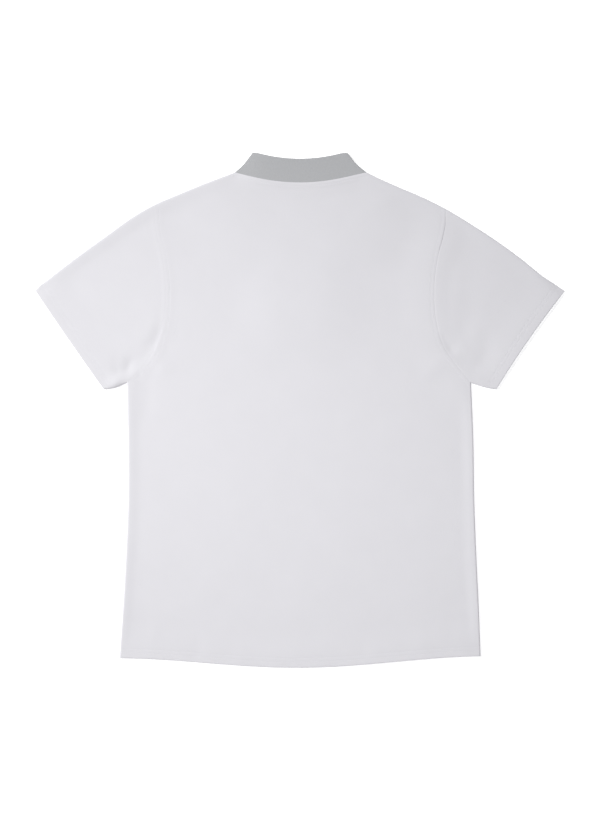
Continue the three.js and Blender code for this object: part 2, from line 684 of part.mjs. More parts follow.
// Buttons: four-hole discs with an eased rim, face down on the surface
function button() {
  const disc = new THREE.Shape();
  disc.absarc(0, 0, BUTTON.radius - BUTTON.rim, 0, 2 * Math.PI);
  for (let k = 0; k < BUTTON.holes; k++) {
    const turn = ((k + 0.5) / BUTTON.holes) * 2 * Math.PI;
    const hole = new THREE.Path();
    const [x, y] = [BUTTON.holeFromCentre * Math.cos(turn), BUTTON.holeFromCentre * Math.sin(turn)];
    hole.absarc(x, y, BUTTON.hole - BUTTON.rim / 2, 0, 2 * Math.PI, true);
    disc.holes.push(hole);
  }
  const geometry = new THREE.ExtrudeGeometry(disc, {
    depth: BUTTON.height - 2 * BUTTON.rim,
    bevelThickness: BUTTON.rim,
    bevelSize: BUTTON.rim,
    bevelSegments: 1,
    curveSegments: 8,
  });
  return geometry.translate(0, 0, BUTTON.rim);
}

BUTTONS_BELOW_COLLAR.forEach((down, k) => {
  const mesh = namedMesh(`button_${k + 1}`, button(), pearl);
  mesh.position.set(0, slitTop - down, 0);
  shirt.add(mesh);
});

export default shirt;
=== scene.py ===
# A white polo shirt with a grey rib stand collar, laid flat on its front with its back up.
# Sizes are in millimetres and become metres in the meshes. +X is the wearer's right, +Y runs from
# the hem to the collar, and +Z is up from the surface that the shirt lies on.
import math
import bmesh
import bpy
import numpy as np
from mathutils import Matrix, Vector
from mathutils.geometry import delaunay_2d_cdt


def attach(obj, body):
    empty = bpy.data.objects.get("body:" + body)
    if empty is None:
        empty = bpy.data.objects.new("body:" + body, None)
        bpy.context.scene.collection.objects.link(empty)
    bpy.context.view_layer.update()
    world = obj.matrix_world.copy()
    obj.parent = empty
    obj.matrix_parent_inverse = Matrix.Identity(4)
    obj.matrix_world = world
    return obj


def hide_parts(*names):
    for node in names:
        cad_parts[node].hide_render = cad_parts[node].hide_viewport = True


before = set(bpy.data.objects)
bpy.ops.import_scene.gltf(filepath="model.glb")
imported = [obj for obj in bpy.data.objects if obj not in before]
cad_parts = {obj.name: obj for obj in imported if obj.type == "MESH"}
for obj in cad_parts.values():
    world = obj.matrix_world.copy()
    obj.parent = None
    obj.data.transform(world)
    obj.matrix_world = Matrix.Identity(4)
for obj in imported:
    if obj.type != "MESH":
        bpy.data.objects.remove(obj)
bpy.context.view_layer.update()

# BACK PANEL
# One piece of pique knit from the neck seam to the hem, with no yoke. It is cut with the shoulder
# line on the fold of the shirt as it lies, and its hem is turned up and sewn with a twin needle.

# Half widths of the side seam on each side, by height along the back
SIDE_SEAM = {
    "left": [(-385, 279.9), (-295, 273.8), (-233, 270.3), (-140, 266.6), (-45, 266.7), (41, 268.4)],
    "right": [(-385, 280), (-295, 276.5), (-233, 273.5), (-140, 270), (-45, 268.5), (41, 265)],
}
# Heights of the shoulder and overarm line, by distance from the centre
OVERARM = {
    "left": [(100, 367.7), (150, 349), (190, 332.6), (226, 317), (263, 295.8), (300, 269),
             (340, 240.4), (375, 213.8), (394, 198.5), (410, 184)],
    "right": [(100, 367.7), (150, 345.6), (190, 328.6), (226, 310.5), (263, 288.2), (300, 264.1),
              (340, 235.2), (375, 207), (394, 194.6), (410, 183.5)],
}
# The back armhole, from just above the underarm to just below the shoulder
ARMHOLE = [(241, 70), (220, 103), (209, 150), (208.5, 200), (214, 240), (223, 278)]
FRONT_ARMHOLE_DEEPER = 6
SHOULDER_X = 226
UNDERARM_Y = 41
SIGN = {"left": -1, "right": 1}

NECK_X, NECK_Y = 100, 367.7
BACK_NECK_DROP = 16.6
HEM_CORNER_Y = {"left": -385, "right": -382}
HEM_MIDDLE_Y = -399.7
HEM_FRONT_RISE = 10
HEM_ROUNDNESS = 1.8

CLOTH = 1.2
HEM_WALL = 2.3
HEM_TURN = 15
SEAM = 0.012          # between two pieces that are sewn together
ROLL, NECK_ROLL = 2.7, 3.5


def read(rows, at):
    """A two-column table, read on a smooth curve through its rows."""
    keys, values = np.array(rows, float).T
    n = len(keys)
    before, after = np.maximum(np.arange(n) - 1, 0), np.minimum(np.arange(n) + 1, n - 1)
    slopes = (values[after] - values[before]) / (keys[after] - keys[before])
    k = np.clip(np.searchsorted(keys, at), 1, n - 1)
    width = keys[k] - keys[k - 1]
    s = (at - keys[k - 1]) / width
    u = 1 - s
    return ((1 + 2 * s) * u * u * values[k - 1] + s * u * u * width * slopes[k - 1]
            + s * s * (3 - 2 * s) * values[k] - s * s * u * width * slopes[k])


def smooth(start, end, at):
    s = np.clip((at - start) / (end - start), 0, 1)
    return s * s * (3 - 2 * s)


def blend(a, b, s):
    return a + (b - a) * s


def resample(line, distances):
    """Points of a plan line at distances along it."""
    run = np.concatenate([[0], np.cumsum(np.hypot(*np.diff(line, axis=0).T))])
    return np.stack([np.interp(distances, run, line[:, axis]) for axis in (0, 1)], axis=1)


def length_of(line):
    return np.hypot(*np.diff(line, axis=0).T).sum()


# How far from a folded edge, or from a seam, the points of a mesh lie
ROLL_STEPS = [ROLL * (1 - math.cos(math.radians(turn))) for turn in (0, 18, 36, 54, 72, 90)]
NEAR_STEPS = [*ROLL_STEPS, 3.8, 5, 6, 7, 8.2, 10, 13, 17, 22]


def armhole(side, deeper):
    """The armhole's line in plan, from the underarm up to the shoulder."""
    bend = [deeper * math.sin(math.pi * (k + 0.5) / len(ARMHOLE)) for k in range(len(ARMHOLE))]
    points = [(read(SIDE_SEAM[side], UNDERARM_Y), UNDERARM_Y),
              *[(x - b, y) for (x, y), b in zip(ARMHOLE, bend)],
              (SHOULDER_X, read(OVERARM[side], SHOULDER_X))]
    p = np.array([points[0], *points, points[-1]], float)
    t = np.linspace(0, 1, 40, endpoint=False)[:, None]
    line = []
    for a, b, c, d in zip(p, p[1:], p[2:], p[3:]):
        v, w = (c - a) / 2, (d - b) / 2
        line.append((2 * b - 2 * c + v + w) * t ** 3 + (3 * c - 3 * b - 2 * v - w) * t ** 2 + v * t + b)
    return np.concatenate([*line, p[-1:]])


# The sleeve's opening runs from its heel, under the arm, to its tip.
SLEEVE_HEEL = (304, 31)
SLEEVE_TIP_X = 410
OPENING_BOW = {"left": -1, "right": 3.4}
UNDERARM_BOW = {"left": 2.6, "right": 1.6}
ARM_EVEN_STATIONS = 46


def arm_stations(line):
    """Distances along an armhole or an opening, close at both ends: as many on each, so that they meet."""
    length = length_of(line)
    even = np.linspace(NEAR_STEPS[-1], length - NEAR_STEPS[-1], ARM_EVEN_STATIONS + 2)[1:-1]
    return np.concatenate([NEAR_STEPS, even, length - np.array(NEAR_STEPS[::-1])])


def sleeve_mouth(side):
    heel = np.array(SLEEVE_HEEL, float)
    tip = np.array([SLEEVE_TIP_X, read(OVERARM[side], SLEEVE_TIP_X)])
    t = np.linspace(0, 1, 60)[:, None]
    middle = (heel + tip) / 2 - (2 * OPENING_BOW[side], 0)
    return (1 - t) ** 2 * heel + 2 * t * (1 - t) * middle + t ** 2 * tip


def underarm(side, w):
    """The folded edge under the arm, from the armhole at 0 to the sleeve's opening at 1."""
    start = np.array([read(SIDE_SEAM[side], UNDERARM_Y), UNDERARM_Y])
    w = np.asarray(w, float)[..., None]
    return start + (SLEEVE_HEEL - start) * w - (0, UNDERARM_BOW[side]) * np.sin(math.pi * w)


# The collar's lines in plan: v is 0 at the neck seam and 1 at the free edge
COLLAR_HEIGHT = 34
COLLAR_CORNER = (74, 399.7)
COLLAR_TOP_DROP = 11.5
COLLAR_HOLLOW = 2.4
FRONT_NECK_DROP = 80


def collar_fold(v):
    across, up = COLLAR_CORNER[0] - NECK_X, COLLAR_CORNER[1] - NECK_Y
    hollow = COLLAR_HOLLOW * math.sin(math.pi * v) / math.hypot(across, up)
    return np.array([NECK_X + across * v - up * hollow, NECK_Y + up * v + across * hollow])


def collar_back(v, s):
    """s runs from 0 at the centre back to 1 at the fold."""
    fold, drop = collar_fold(v), blend(BACK_NECK_DROP, COLLAR_TOP_DROP, v)
    return np.stack([fold[0] * s, fold[1] - drop * (1 - s * s)], axis=1)


def collar_front(v, t):
    """t runs from 0 at the fold to 1 at the centre front. The line leaves the fold as the back's arrives."""
    fold, drop = collar_fold(v), blend(BACK_NECK_DROP, COLLAR_TOP_DROP, v)
    along = collar_fold(1) - collar_fold(0)
    along /= np.linalg.norm(along)
    arrives = np.array([fold[0], 2 * drop])
    arrives /= np.linalg.norm(arrives)
    leaves = 2 * arrives.dot(along) * along - arrives
    end = np.array([blend(0.3, 4, v * v), NECK_Y - FRONT_NECK_DROP + COLLAR_HEIGHT * v])
    steep, level = fold + 42 * leaves, end + (blend(48, 32, v), 0)
    t = np.asarray(t, float)[:, None]
    u = 1 - t
    return u ** 3 * fold + 3 * u * u * t * steep + 3 * u * t * t * level + t ** 3 * end


def outline_parts(side):
    """The lines that the pieces of one side share."""
    ys = np.linspace(HEM_CORNER_Y[side], UNDERARM_Y, 160)
    xs = np.linspace(NECK_X, SHOULDER_X, 80)
    arm = np.linspace(SHOULDER_X, SLEEVE_TIP_X, 120)
    return {
        "side": np.stack([read(SIDE_SEAM[side], ys), ys], axis=1),
        "shoulder": np.stack([xs, read(OVERARM[side], xs)], axis=1),
        "overarm": np.stack([arm, read(OVERARM[side], arm)], axis=1),
        "back": armhole(side, 0),
        "front": armhole(side, FRONT_ARMHOLE_DEEPER),
        "mouth": sleeve_mouth(side),
    }


LINES = {side: outline_parts(side) for side in SIGN}


def off_line(x, y, line):
    """How far points lie from a line in plan."""
    least = np.full(np.shape(x), np.inf)
    for (ax, ay), (bx, by) in zip(line, line[1:]):
        dx, dy = bx - ax, by - ay
        s = np.clip(((x - ax) * dx + (y - ay) * dy) / (dx * dx + dy * dy + 1e-12), 0, 1)
        least = np.minimum(least, np.hypot(x - ax - s * dx, y - ay - s * dy))
    return least


def mirrored(line, side):
    return np.asarray(line) * (SIGN[side], 1)


COLLAR_LINE = np.array([collar_fold(v) for v in np.linspace(1, 0, 12)])
FOLD_LINES = [mirrored(line, side) for side in SIGN for line in (
    np.concatenate([LINES[side]["side"][::3], underarm(side, np.linspace(0, 1, 9))]),
    np.concatenate([COLLAR_LINE, LINES[side]["shoulder"][::2], LINES[side]["overarm"][1::2]]))]


def hem_line(x, rise=0):
    """The hem in plan: level with its corners at the side seams, lowest at the middle."""
    left = np.asarray(x) < 0
    corner = np.where(left, HEM_CORNER_Y["left"], HEM_CORNER_Y["right"])
    half = np.where(left, read(SIDE_SEAM["left"], -385), read(SIDE_SEAM["right"], -382))
    share = np.minimum(np.abs(x) / half, 1)
    corners = (HEM_CORNER_Y["left"] + HEM_CORNER_Y["right"]) / 2
    dip = corners - HEM_MIDDLE_Y - rise
    return blend(corners, corner, share) - dip * np.cos(math.pi / 2 * share) ** HEM_ROUNDNESS


# Heights of the upper side: the cloth lies higher at the neck, over the placket and at the hems
LOFT, NECK_LOFT, HEM_LOFT, CUFF_LOFT = 4.4, 6.8, 5.5, 6.2
PLACKET_LIFT = 2.3
BACK_SEAM = mirrored(collar_back(0, np.linspace(-1, 1, 40)), "right")
FRONT_SEAM = np.concatenate([mirrored(collar_front(0, np.linspace(0, 1, 30)), "left"),
                             collar_front(0, np.linspace(1, 0, 30))])

# Creases: middle, direction in degrees, half length, half width, bend and height.
# A negative height is a trough. The first rows are the pulls that run out from the underarms.
TOP_CREASES = [
    (-238, 101, 62, 16, 8, 0.0, -0.3), (-262, 72, 28, 22, 10, 0.0, -0.8),
    (-214, 66, -48, 20, 10, 0.0, 0.7), (230, 98, 122, 18, 7, 0.0, -1.2),
    (262, 66, 150, 20, 11, 0.0, -0.7), (206, 62, 40, 22, 12, 0.0, 0.6),
    (-247, 57, 80, 14, 6, 0.1, -0.5), (-283, 62, -70, 16, 7, 0.1, -0.5),
    (-229, 122, 74, 26, 10, 0.1, 0.45), (243, 152, 86, 40, 13, -0.1, 0.5),
    (262, 108, 55, 26, 12, 0.1, 0.5), (287, 80, 70, 26, 13, 0.1, -0.45),
    (-235, 26, 86, 55, 9, 0.05, -0.5), (-257, -60, 88, 120, 8, 0.02, -0.35),
    (-263, -260, 87, 110, 9, -0.02, -0.35), (-290, 254, -38, 34, 9, 0.05, -0.45),
    (-322, 226, -36, 26, 8, 0.05, -0.4), (-250, 279, -30, 26, 9, 0.0, -0.4),
    (-196, 306, -24, 30, 9, 0.0, -0.35), (-352, 196, -40, 24, 9, 0.0, -0.3),
    (-140, 322, -20, 26, 10, 0.0, -0.3), (60, 331, 12, 46, 8, 0.1, -0.4),
    (-66, 330, -10, 44, 9, -0.1, -0.35), (120, 318, 30, 30, 10, 0.0, 0.3),
    (-226, -352, 82, 38, 8, 0.1, 0.4), (-158, -371, 70, 24, 8, 0.1, -0.4),
    (-90, -380, 96, 20, 9, 0.0, 0.35), (96, -374, 80, 24, 11, 0.1, -0.35),
    (190, -360, 100, 34, 11, 0.1, 0.35), (236, -330, 84, 44, 10, 0.0, -0.3),
    (258, -120, 92, 130, 9, 0.02, -0.35), (262, -310, 95, 60, 9, 0.0, -0.3),
    (30, 120, 84, 150, 60, 0.05, 0.35), (-120, -90, 96, 200, 70, 0.05, 0.3),
    (150, -190, 80, 170, 60, -0.05, -0.3), (-40, -250, 60, 150, 50, 0.05, -0.25),
]
NECK_RIDGE = {"height": 0.8, "width": 5.5}
# The armhole seams: a low ridge where the allowance is pressed towards the body, from which the sleeve
# falls away. Each gives its height, and how far from the seam it starts to fall and ends.
ARM_RIDGE = {"left": (0.3, 7, 17), "right": (1.5, 5, 60)}
ARM_FALL = {"left": (0.0, 8, 28), "right": (0.35, 40, 85)}
SLEEVE_CREASES = [
    (-221, 110, 64, 20, 12, 0.0, -1.5), (-267, 62, 74, 13, 7, 0.0, -1.0),
    (225, 275, 76, 34, 12, 0.0, -0.7), (240, 98, 122, 20, 9, 0.0, -0.6),
    (244, 198, 84, 30, 10, 0.0, 0.5), (273, 98, 80, 24, 12, 0.0, 0.45),
]
# Where an edge falls away gently: middle, half width, how far in it starts, how round it is, from 0,
# a slope, to 1, an ellipse, and how much it is puffed up. The left sleeve's heel and the right one's
# tip, and the left end of the neck, where the collar was pressed flat.
GENTLE_EDGES = {"sleeve": [(-283, 36, 14, 12, 1, 3.0), (402, 190, 26, 14, 0, 0)],
                "neck": [(-90, 380, 34, 45, 0, 0)]}
SEAM_GROOVE = {"depth": 0.2, "half_width": 0.9}
FLAT_SEAM_GROOVE = {"depth": 0.07, "half_width": 1.2}
STITCH_GROOVE = {"depth": 0.14, "half_width": 0.9}
NECK_STITCH_GROOVE = {"depth": 0.4, "half_width": 1.1}
TOPSTITCH = 6          # from the seam, on the neck and the armholes
HEM_STITCHES = (8.5, 14)
CUFF_STITCHES = (13, 18.5)


def near_neck(x, y):
    return 1 - smooth(120, 215, np.hypot(x, y - NECK_Y))


def near_placket(x, y):
    return (1 - smooth(30, 115, np.abs(x))) * smooth(60, 150, y)


def roll_radius(x, y):
    return blend(ROLL, NECK_ROLL, near_neck(x, y))


def off_mouth(x, y):
    """How far a point lies inside the nearer sleeve's opening."""
    return np.where(np.asarray(x) < 0, off_line(-x, y, LINES["left"]["mouth"][::6]),
                    off_line(x, y, LINES["right"]["mouth"][::6]))


def off_armhole(x, y, panel):
    return np.where(np.asarray(x) < 0, off_line(-x, y, LINES["left"][panel][::6]),
                    off_line(x, y, LINES["right"][panel][::6]))


def crease_heights(x, y, creases):
    total = np.zeros(np.shape(x))
    for cx, cy, angle, half_length, half_width, bend, height in creases:
        turn = math.radians(angle)
        along = ((x - cx) * math.cos(turn) + (y - cy) * math.sin(turn)) / half_length
        aside = ((y - cy) * math.cos(turn) - (x - cx) * math.sin(turn)) / half_width
        aside = aside - bend * half_length / half_width * along ** 2
        taper = np.exp(-along ** 2) * (1 + 0.18 * np.sin(5.3 * along + cx))
        total += height * taper * np.exp(-aside ** 2)
    return total


def grooves(x, y, lines, groove):
    total = np.zeros(np.shape(x))
    for line in lines:
        total = np.maximum(total, np.exp(-(off_line(x, y, line) / groove["half_width"]) ** 2))
    return groove["depth"] * total


def armhole_groove(x, y, panel):
    """The left armhole's seam was pressed flatter than the right one."""
    left = grooves(x, y, [mirrored(LINES["left"][panel][::4], "left")], FLAT_SEAM_GROOVE)
    return left + grooves(x, y, [mirrored(LINES["right"][panel][::4], "right")], SEAM_GROOVE)


def sewn_rows(up, sewn):
    """Grooves under rows of stitches, at distances up from a hem's fold."""
    rows = [np.exp(-((up - row) / STITCH_GROOVE["half_width"]) ** 2) for row in sewn]
    return STITCH_GROOVE["depth"] * np.maximum(*rows)


def round_over(distance, radius):
    return np.sqrt(np.maximum(0, 1 - (1 - np.minimum(distance / radius, 1)) ** 2))


def top_height(x, y, fold_distance, piece):
    """Outer face of the top layers."""
    radius = roll_radius(x, y)
    loft = blend(LOFT, NECK_LOFT, np.maximum(near_neck(x, y), near_placket(x, y)))
    loft = loft + (HEM_LOFT - LOFT) * (1 - smooth(HEM_TURN, 60, y - hem_line(x)))
    loft = loft + (CUFF_LOFT - LOFT) * (1 - smooth(0, 60, off_mouth(x, y)))
    seam = off_armhole(x, y, "back")
    ridge, flat, ends = [np.where(x < 0, *both) for both in zip(ARM_RIDGE["left"], ARM_RIDGE["right"])]
    if piece == "sleeve":
        hollow, deepest, ends = [np.where(x < 0, *both) for both in zip(ARM_FALL["left"], ARM_FALL["right"])]
        loft = loft + blend(ridge, -hollow, smooth(0, deepest, seam)) * (1 - smooth(deepest, ends, seam))
        loft = loft + crease_heights(x, y, SLEEVE_CREASES)
    if piece == "body":
        loft = loft + ridge * (1 - smooth(flat, ends, seam))
        neck = off_line(x, y, BACK_SEAM)
        loft = loft + NECK_RIDGE["height"] * (1 - smooth(NECK_RIDGE["width"], NECK_RIDGE["width"] * 2, neck))
    loft = loft + crease_heights(x, y, TOP_CREASES)
    eased = 1 - smooth(0, 20, fold_distance - radius)
    inside = blend(loft, 2 * radius, eased)
    turned = radius * (0.6 if piece == "collar" else 1)
    rolled = blend(radius + SEAM / 2, inside, round_over(fold_distance, turned))
    gentle_edges = GENTLE_EDGES["sleeve" if piece == "sleeve" else "neck"]
    for middle_x, middle_y, half_width, start, roundness, puff in gentle_edges:
        gentle = np.exp(-((x - middle_x) ** 2 + (y - middle_y) ** 2) / half_width ** 2)
        slope = np.sin(math.pi / 2 * np.minimum(fold_distance / start, 1))
        rise = blend(slope, round_over(fold_distance, start), roundness)
        rolled = blend(rolled, blend(radius + SEAM / 2, inside + puff, rise), gentle)
    return rolled


def lift(x, y):
    """How far the bottom layers are lifted by the buttons that lie under them."""
    aside = (1 - smooth(12, 42, np.abs(x))) * smooth(112, 150, y)
    return PLACKET_LIFT * aside * (1 - smooth(281, 325, y))


def bottom_height(x, y, fold_distance):
    """Outer face of the bottom layers: on the surface, apart from the rolls and the placket."""
    radius = roll_radius(x, y)
    rolled = (radius - SEAM / 2) * (1 - round_over(fold_distance, radius))
    return np.where(fold_distance < radius, rolled, lift(x, y))


def fold_distances(x, y, folded):
    distance = np.min([off_line(x, y, line) for line in FOLD_LINES], axis=0)
    return np.where(folded, 0, distance)


def across_line(points):
    """Directions across a line at its points, in plan."""
    step = np.gradient(points, axis=0)
    return np.stack([step[:, 1], -step[:, 0]], axis=1) / np.hypot(*step.T)[:, None]


HEM_STEPS = [0, 0.06, 0.25, 0.6, 1.15, 2.4, 4.5, 6.5, 7.6, 8.5, 9.4, 11, 12.4, 13.2, 14, 14.8, 16, 19, 24]
CENTRE_PITCH = 5
ROW_UPS = np.concatenate([HEM_STEPS, np.arange(30, 420, CENTRE_PITCH)])


def body_half(side, panel, top_line, hem_rise, still):
    """Plan points of one half of a body panel, in rows up from the hem, out from the centre line."""
    seam = LINES[side]
    arm = resample(seam[panel], arm_stations(seam[panel]))

    def edge(name):
        ys = HEM_CORNER_Y[name] + ROW_UPS
        arm_here = resample(LINES[name][panel], arm_stations(LINES[name][panel]))
        low = np.stack([read(SIDE_SEAM[name], ys), ys], axis=1)
        return np.concatenate([low[ys < UNDERARM_Y - 2][:len(ROW_UPS) - 1], arm_here])

    counts = [len(edge(name)) for name in SIGN]
    outer = edge(side)
    middles = (edge("left")[:, 1] + edge("right")[:, 1]) / 2 if counts[0] == counts[1] else outer[:, 1]
    below = len(outer) - len(arm)
    steps = np.array(NEAR_STEPS[::-1])
    first_edge = len(top_line) - len(steps)
    room = outer[:, 0] - steps[0] - top_line[still, 0]
    top_share = (top_line[:, 0] - top_line[still, 0]) / room[-1]
    even_share = (np.arange(len(top_line)) - still) / (first_edge - still)
    climbed = np.maximum(0, (middles - UNDERARM_Y) / (middles[-1] - UNDERARM_Y))[:, None]
    sunk = np.maximum(0, (UNDERARM_Y - middles) / (UNDERARM_Y - middles[0]))[:, None]
    x = top_line[still, 0] + room[:, None] * blend(even_share, top_share, smooth(0, 1, climbed))
    x[:, :still + 1] = top_line[:still + 1, 0]
    x[:, first_edge:] = outer[:, :1] - steps
    share = x / outer[:, :1]
    level = blend(middles[:, None], outer[:, 1:], share)
    top_level = blend(middles[-1], outer[-1, 1], top_line[:, 0] / outer[-1, 0])
    dip = hem_line(SIGN[side] * share * outer[0, 0], hem_rise) - blend(middles[0], outer[0, 1], share)
    y = level + climbed * (top_line[:, 1] - top_level) + sunk * dip
    # At the armhole the panel stops half a seam short; at its two ends that is along the fold.
    shift = -across_line(arm) * SEAM / 2
    shift[0] = (outer[below - 1] - arm[0]) / np.linalg.norm(outer[below - 1] - arm[0]) * SEAM * 0.75
    shift[-1] = (top_line[-2] - arm[-1]) / np.linalg.norm(top_line[-2] - arm[-1]) * SEAM / 2
    x[below:, -1] += shift[:, 0]
    y[below:, -1] += shift[:, 1]
    return x, y, below


def surface_normals(grid, ring=False):
    up = np.gradient(grid, axis=0)
    along = (np.roll(grid, -1, axis=1) - np.roll(grid, 1, axis=1)) if ring else np.gradient(grid, axis=1)
    normal = np.cross(along, up)
    return normal / np.maximum(np.linalg.norm(normal, axis=2, keepdims=True), 1e-9)


# Where the shirt lies a little out of its even shape: middle, reach, and how far it is pulled over
# and up. The right end of the neck seam is wider, and the corners of the collar and sleeves are blunt.
PULLS = [(101, 366, 15, 3.0, -0.6), (-100, 366, 15, -0.9, -0.4), (74, 400, 7, -0.8, -1.9),
         (-74, 400, 7, 0.6, -1.6), (-402, 190, 8, -0.9, 1.5)]


def pulled(points):
    out = points.copy()
    for middle_x, middle_y, reach, over, up in PULLS:
        near = np.exp(-((points[..., 0] - middle_x) ** 2 + (points[..., 1] - middle_y) ** 2) / reach ** 2)
        out[..., 0] += over * near
        out[..., 1] += up * near
    return out


def cloth_piece(name, outer, inner, material, ring=False, filled=None, knit=None):
    """A closed wall between an outer and an inner grid of points, with flat ends."""
    rows, columns = outer.shape[:2]
    cells = columns if ring else columns - 1
    filled = np.ones((rows - 1, cells), bool) if filled is None else filled
    index = np.arange(rows * columns).reshape(rows, columns)
    i, j = np.nonzero(filled)
    right = (j + 1) % columns
    a, b, c, d = index[i, j], index[i, right], index[i + 1, right], index[i + 1, j]
    deep = rows * columns
    faces = [np.stack([a, b, c, d], axis=1), np.stack([a, d, c, b], axis=1) + deep]
    padded = np.zeros((rows + 1, cells + 2), bool)
    padded[1:-1, 1:-1] = filled
    if ring:
        padded[1:-1, 0], padded[1:-1, -1] = filled[:, -1], filled[:, 0]
    open_sides = {(0, -1): (a, b), (1, 0): (b, c), (0, 1): (c, d), (-1, 0): (d, a)}
    for (step_j, step_i), (start, end) in open_sides.items():
        bare = ~padded[i + 1 + step_i, j + 1 + step_j]
        p, q = start[bare], end[bare]
        faces.append(np.stack([q, p, p + deep, q + deep], axis=1))
    points = pulled(np.concatenate([outer.reshape(-1, 3), inner.reshape(-1, 3)])) / 1000
    quads = np.concatenate(faces)
    used = np.unique(quads)
    renumber = np.full(len(points), -1)
    renumber[used] = np.arange(len(used))
    mesh = bpy.data.meshes.new(name)
    mesh.from_pydata(points[used].tolist(), [], renumber[quads].tolist())
    mesh.update()
    layer = mesh.uv_layers.new(name="knit")
    flat = (outer[:, :, :2] if knit is None else knit).reshape(-1, 2) / 1000
    both = np.concatenate([flat, flat])[used]
    corners = np.empty(len(mesh.loops), int)
    mesh.loops.foreach_get("vertex_index", corners)
    layer.data.foreach_set("uv", both[corners].ravel())
    mesh.polygons.foreach_set("use_smooth", np.ones(len(mesh.polygons), bool))
    mesh.set_sharp_from_angle(angle=math.radians(50))
    piece = bpy.data.objects.new(name, mesh)
    bpy.context.collection.objects.link(piece)
    piece.data.materials.append(material)
    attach(piece, "root")
    return piece


def add(tree, kind, inputs=None, **settings):
    """One node, with its settings and what its sockets take."""
    node = tree.nodes.new(kind)
    for key, value in settings.items():
        setattr(node, key, value)
    for key, value in (inputs or {}).items():
        if isinstance(value, bpy.types.NodeSocket):
            tree.links.new(value, node.inputs[key])
        else:
            node.inputs[key].default_value = value
    return node


def linear(colour):
    """An sRGB hex colour as the linear RGBA that a shader takes."""
    parts = [int(colour[k:k + 2], 16) / 255 for k in (1, 3, 5)]
    return (*[p / 12.92 if p <= 0.04045 else ((p + 0.055) / 1.055) ** 2.4 for p in parts], 1)


def fresh(name):
    material = bpy.data.materials.new(name)
    material.use_nodes = True
    material.node_tree.nodes.clear()
    return material, material.node_tree


# White cotton pique: offset rows of small raised loops, 1.4 mm apart, matte, with a soft nap. The
# loops are finer than a pixel of the render, so from there the cloth looks smooth and dry.
PIQUE_PITCH = 1.4
PIQUE_DEPTH = 0.12
# the low colour stands for the hollows between the loops, darkened there as painted shade
PIQUE_COLOURS = {"high": "#e6e5e9", "low": "#dddce0"}


def cotton_pique():
    material, tree = fresh("white cotton pique")
    place = add(tree, "ShaderNodeUVMap", uv_map="knit").outputs["UV"]
    turns = add(tree, "ShaderNodeVectorMath", {0: place, 1: (2000 * math.pi / PIQUE_PITCH,) * 3},
                operation="MULTIPLY").outputs[0]
    axes = add(tree, "ShaderNodeSeparateXYZ", {0: turns}).outputs
    wave = [add(tree, "ShaderNodeMath", {0: axes[k]}, operation="COSINE").outputs[0] for k in (0, 1)]
    loops = add(tree, "ShaderNodeMath", {0: wave[0], 1: wave[1]}, operation="MULTIPLY").outputs[0]
    yarn = add(tree, "ShaderNodeTexNoise", {"Vector": place, "Scale": 1000 / 2.2, "Detail": 3.0}).outputs[0]
    uneven = add(tree, "ShaderNodeMath", {0: yarn, 1: 1.2, 2: loops}, operation="MULTIPLY_ADD").outputs[0]
    raised = add(tree, "ShaderNodeBump", {"Height": uneven, "Strength": 0.35,
                                          "Distance": PIQUE_DEPTH / 1000}).outputs[0]
    patches = add(tree, "ShaderNodeTexNoise", {"Vector": place, "Scale": 1000 / 45, "Detail": 2.0}).outputs[0]
    soft = add(tree, "ShaderNodeMath", {0: patches, 1: 0.35, 2: 0.35}, operation="MULTIPLY_ADD").outputs[0]
    # painted shade: the colour is darker in the hollows between the loops; the broad patches are random tone
    dimple_shade_and_patches = add(tree, "ShaderNodeMath", {0: loops, 1: 0.12, 2: soft}, operation="MULTIPLY_ADD").outputs[0]
    colour = add(tree, "ShaderNodeMix", {"Factor": dimple_shade_and_patches, "A": linear(PIQUE_COLOURS["low"]),
                                         "B": linear(PIQUE_COLOURS["high"])}, data_type="RGBA")
    shader = add(tree, "ShaderNodeBsdfPrincipled", {
        "Base Color": colour.outputs["Result"], "Roughness": 0.92, "IOR": 1.45, "Normal": raised,
        "Specular IOR Level": 0.25, "Sheen Weight": 0.12, "Sheen Roughness": 0.5})
    add(tree, "ShaderNodeOutputMaterial", {"Surface": shader.outputs[0]})
    return material


pique = cotton_pique()


def half_steps(length, pitch, near):
    """Distances from 0 to a length, even but for the last, which are given from its end."""
    even = np.linspace(0, length - near[-1], max(int((length - near[-1]) / pitch), 1) + 1)[:-1]
    return np.concatenate([even, length - np.array(near[::-1])])


def shoulder_points(side):
    xs = NECK_X + half_steps(SHOULDER_X - NECK_X, CENTRE_PITCH, NEAR_STEPS)[1:]
    return np.stack([xs, read(OVERARM[side], xs)], axis=1)


NECK_ROLL_STEPS = [NECK_ROLL / ROLL * step for step in ROLL_STEPS]
back_neck_length = length_of(collar_back(0, np.linspace(0, 1, 60)))
back_neck_shares = half_steps(back_neck_length, CENTRE_PITCH, NECK_ROLL_STEPS) / back_neck_length
BACK_NECKLINE = collar_back(0, back_neck_shares)


def body_grid(panel, neckline, hem_rise, still):
    """A whole panel in plan, from the left side to the right, with a mask of what lies on a fold."""
    halves = []
    for side in SIGN:
        top = np.concatenate([neckline, shoulder_points(side)])
        x, y, below = body_half(side, panel, top, hem_rise, still)
        folded = np.zeros(x.shape, bool)
        folded[:below + 1, -1] = True
        folded[-1, len(neckline) - 1:] = True
        halves.append((x * SIGN[side], y, folded))
    left, right = halves
    return [np.concatenate([a[:, :0:-1], b], axis=1) for a, b in zip(left, right)] + [below]


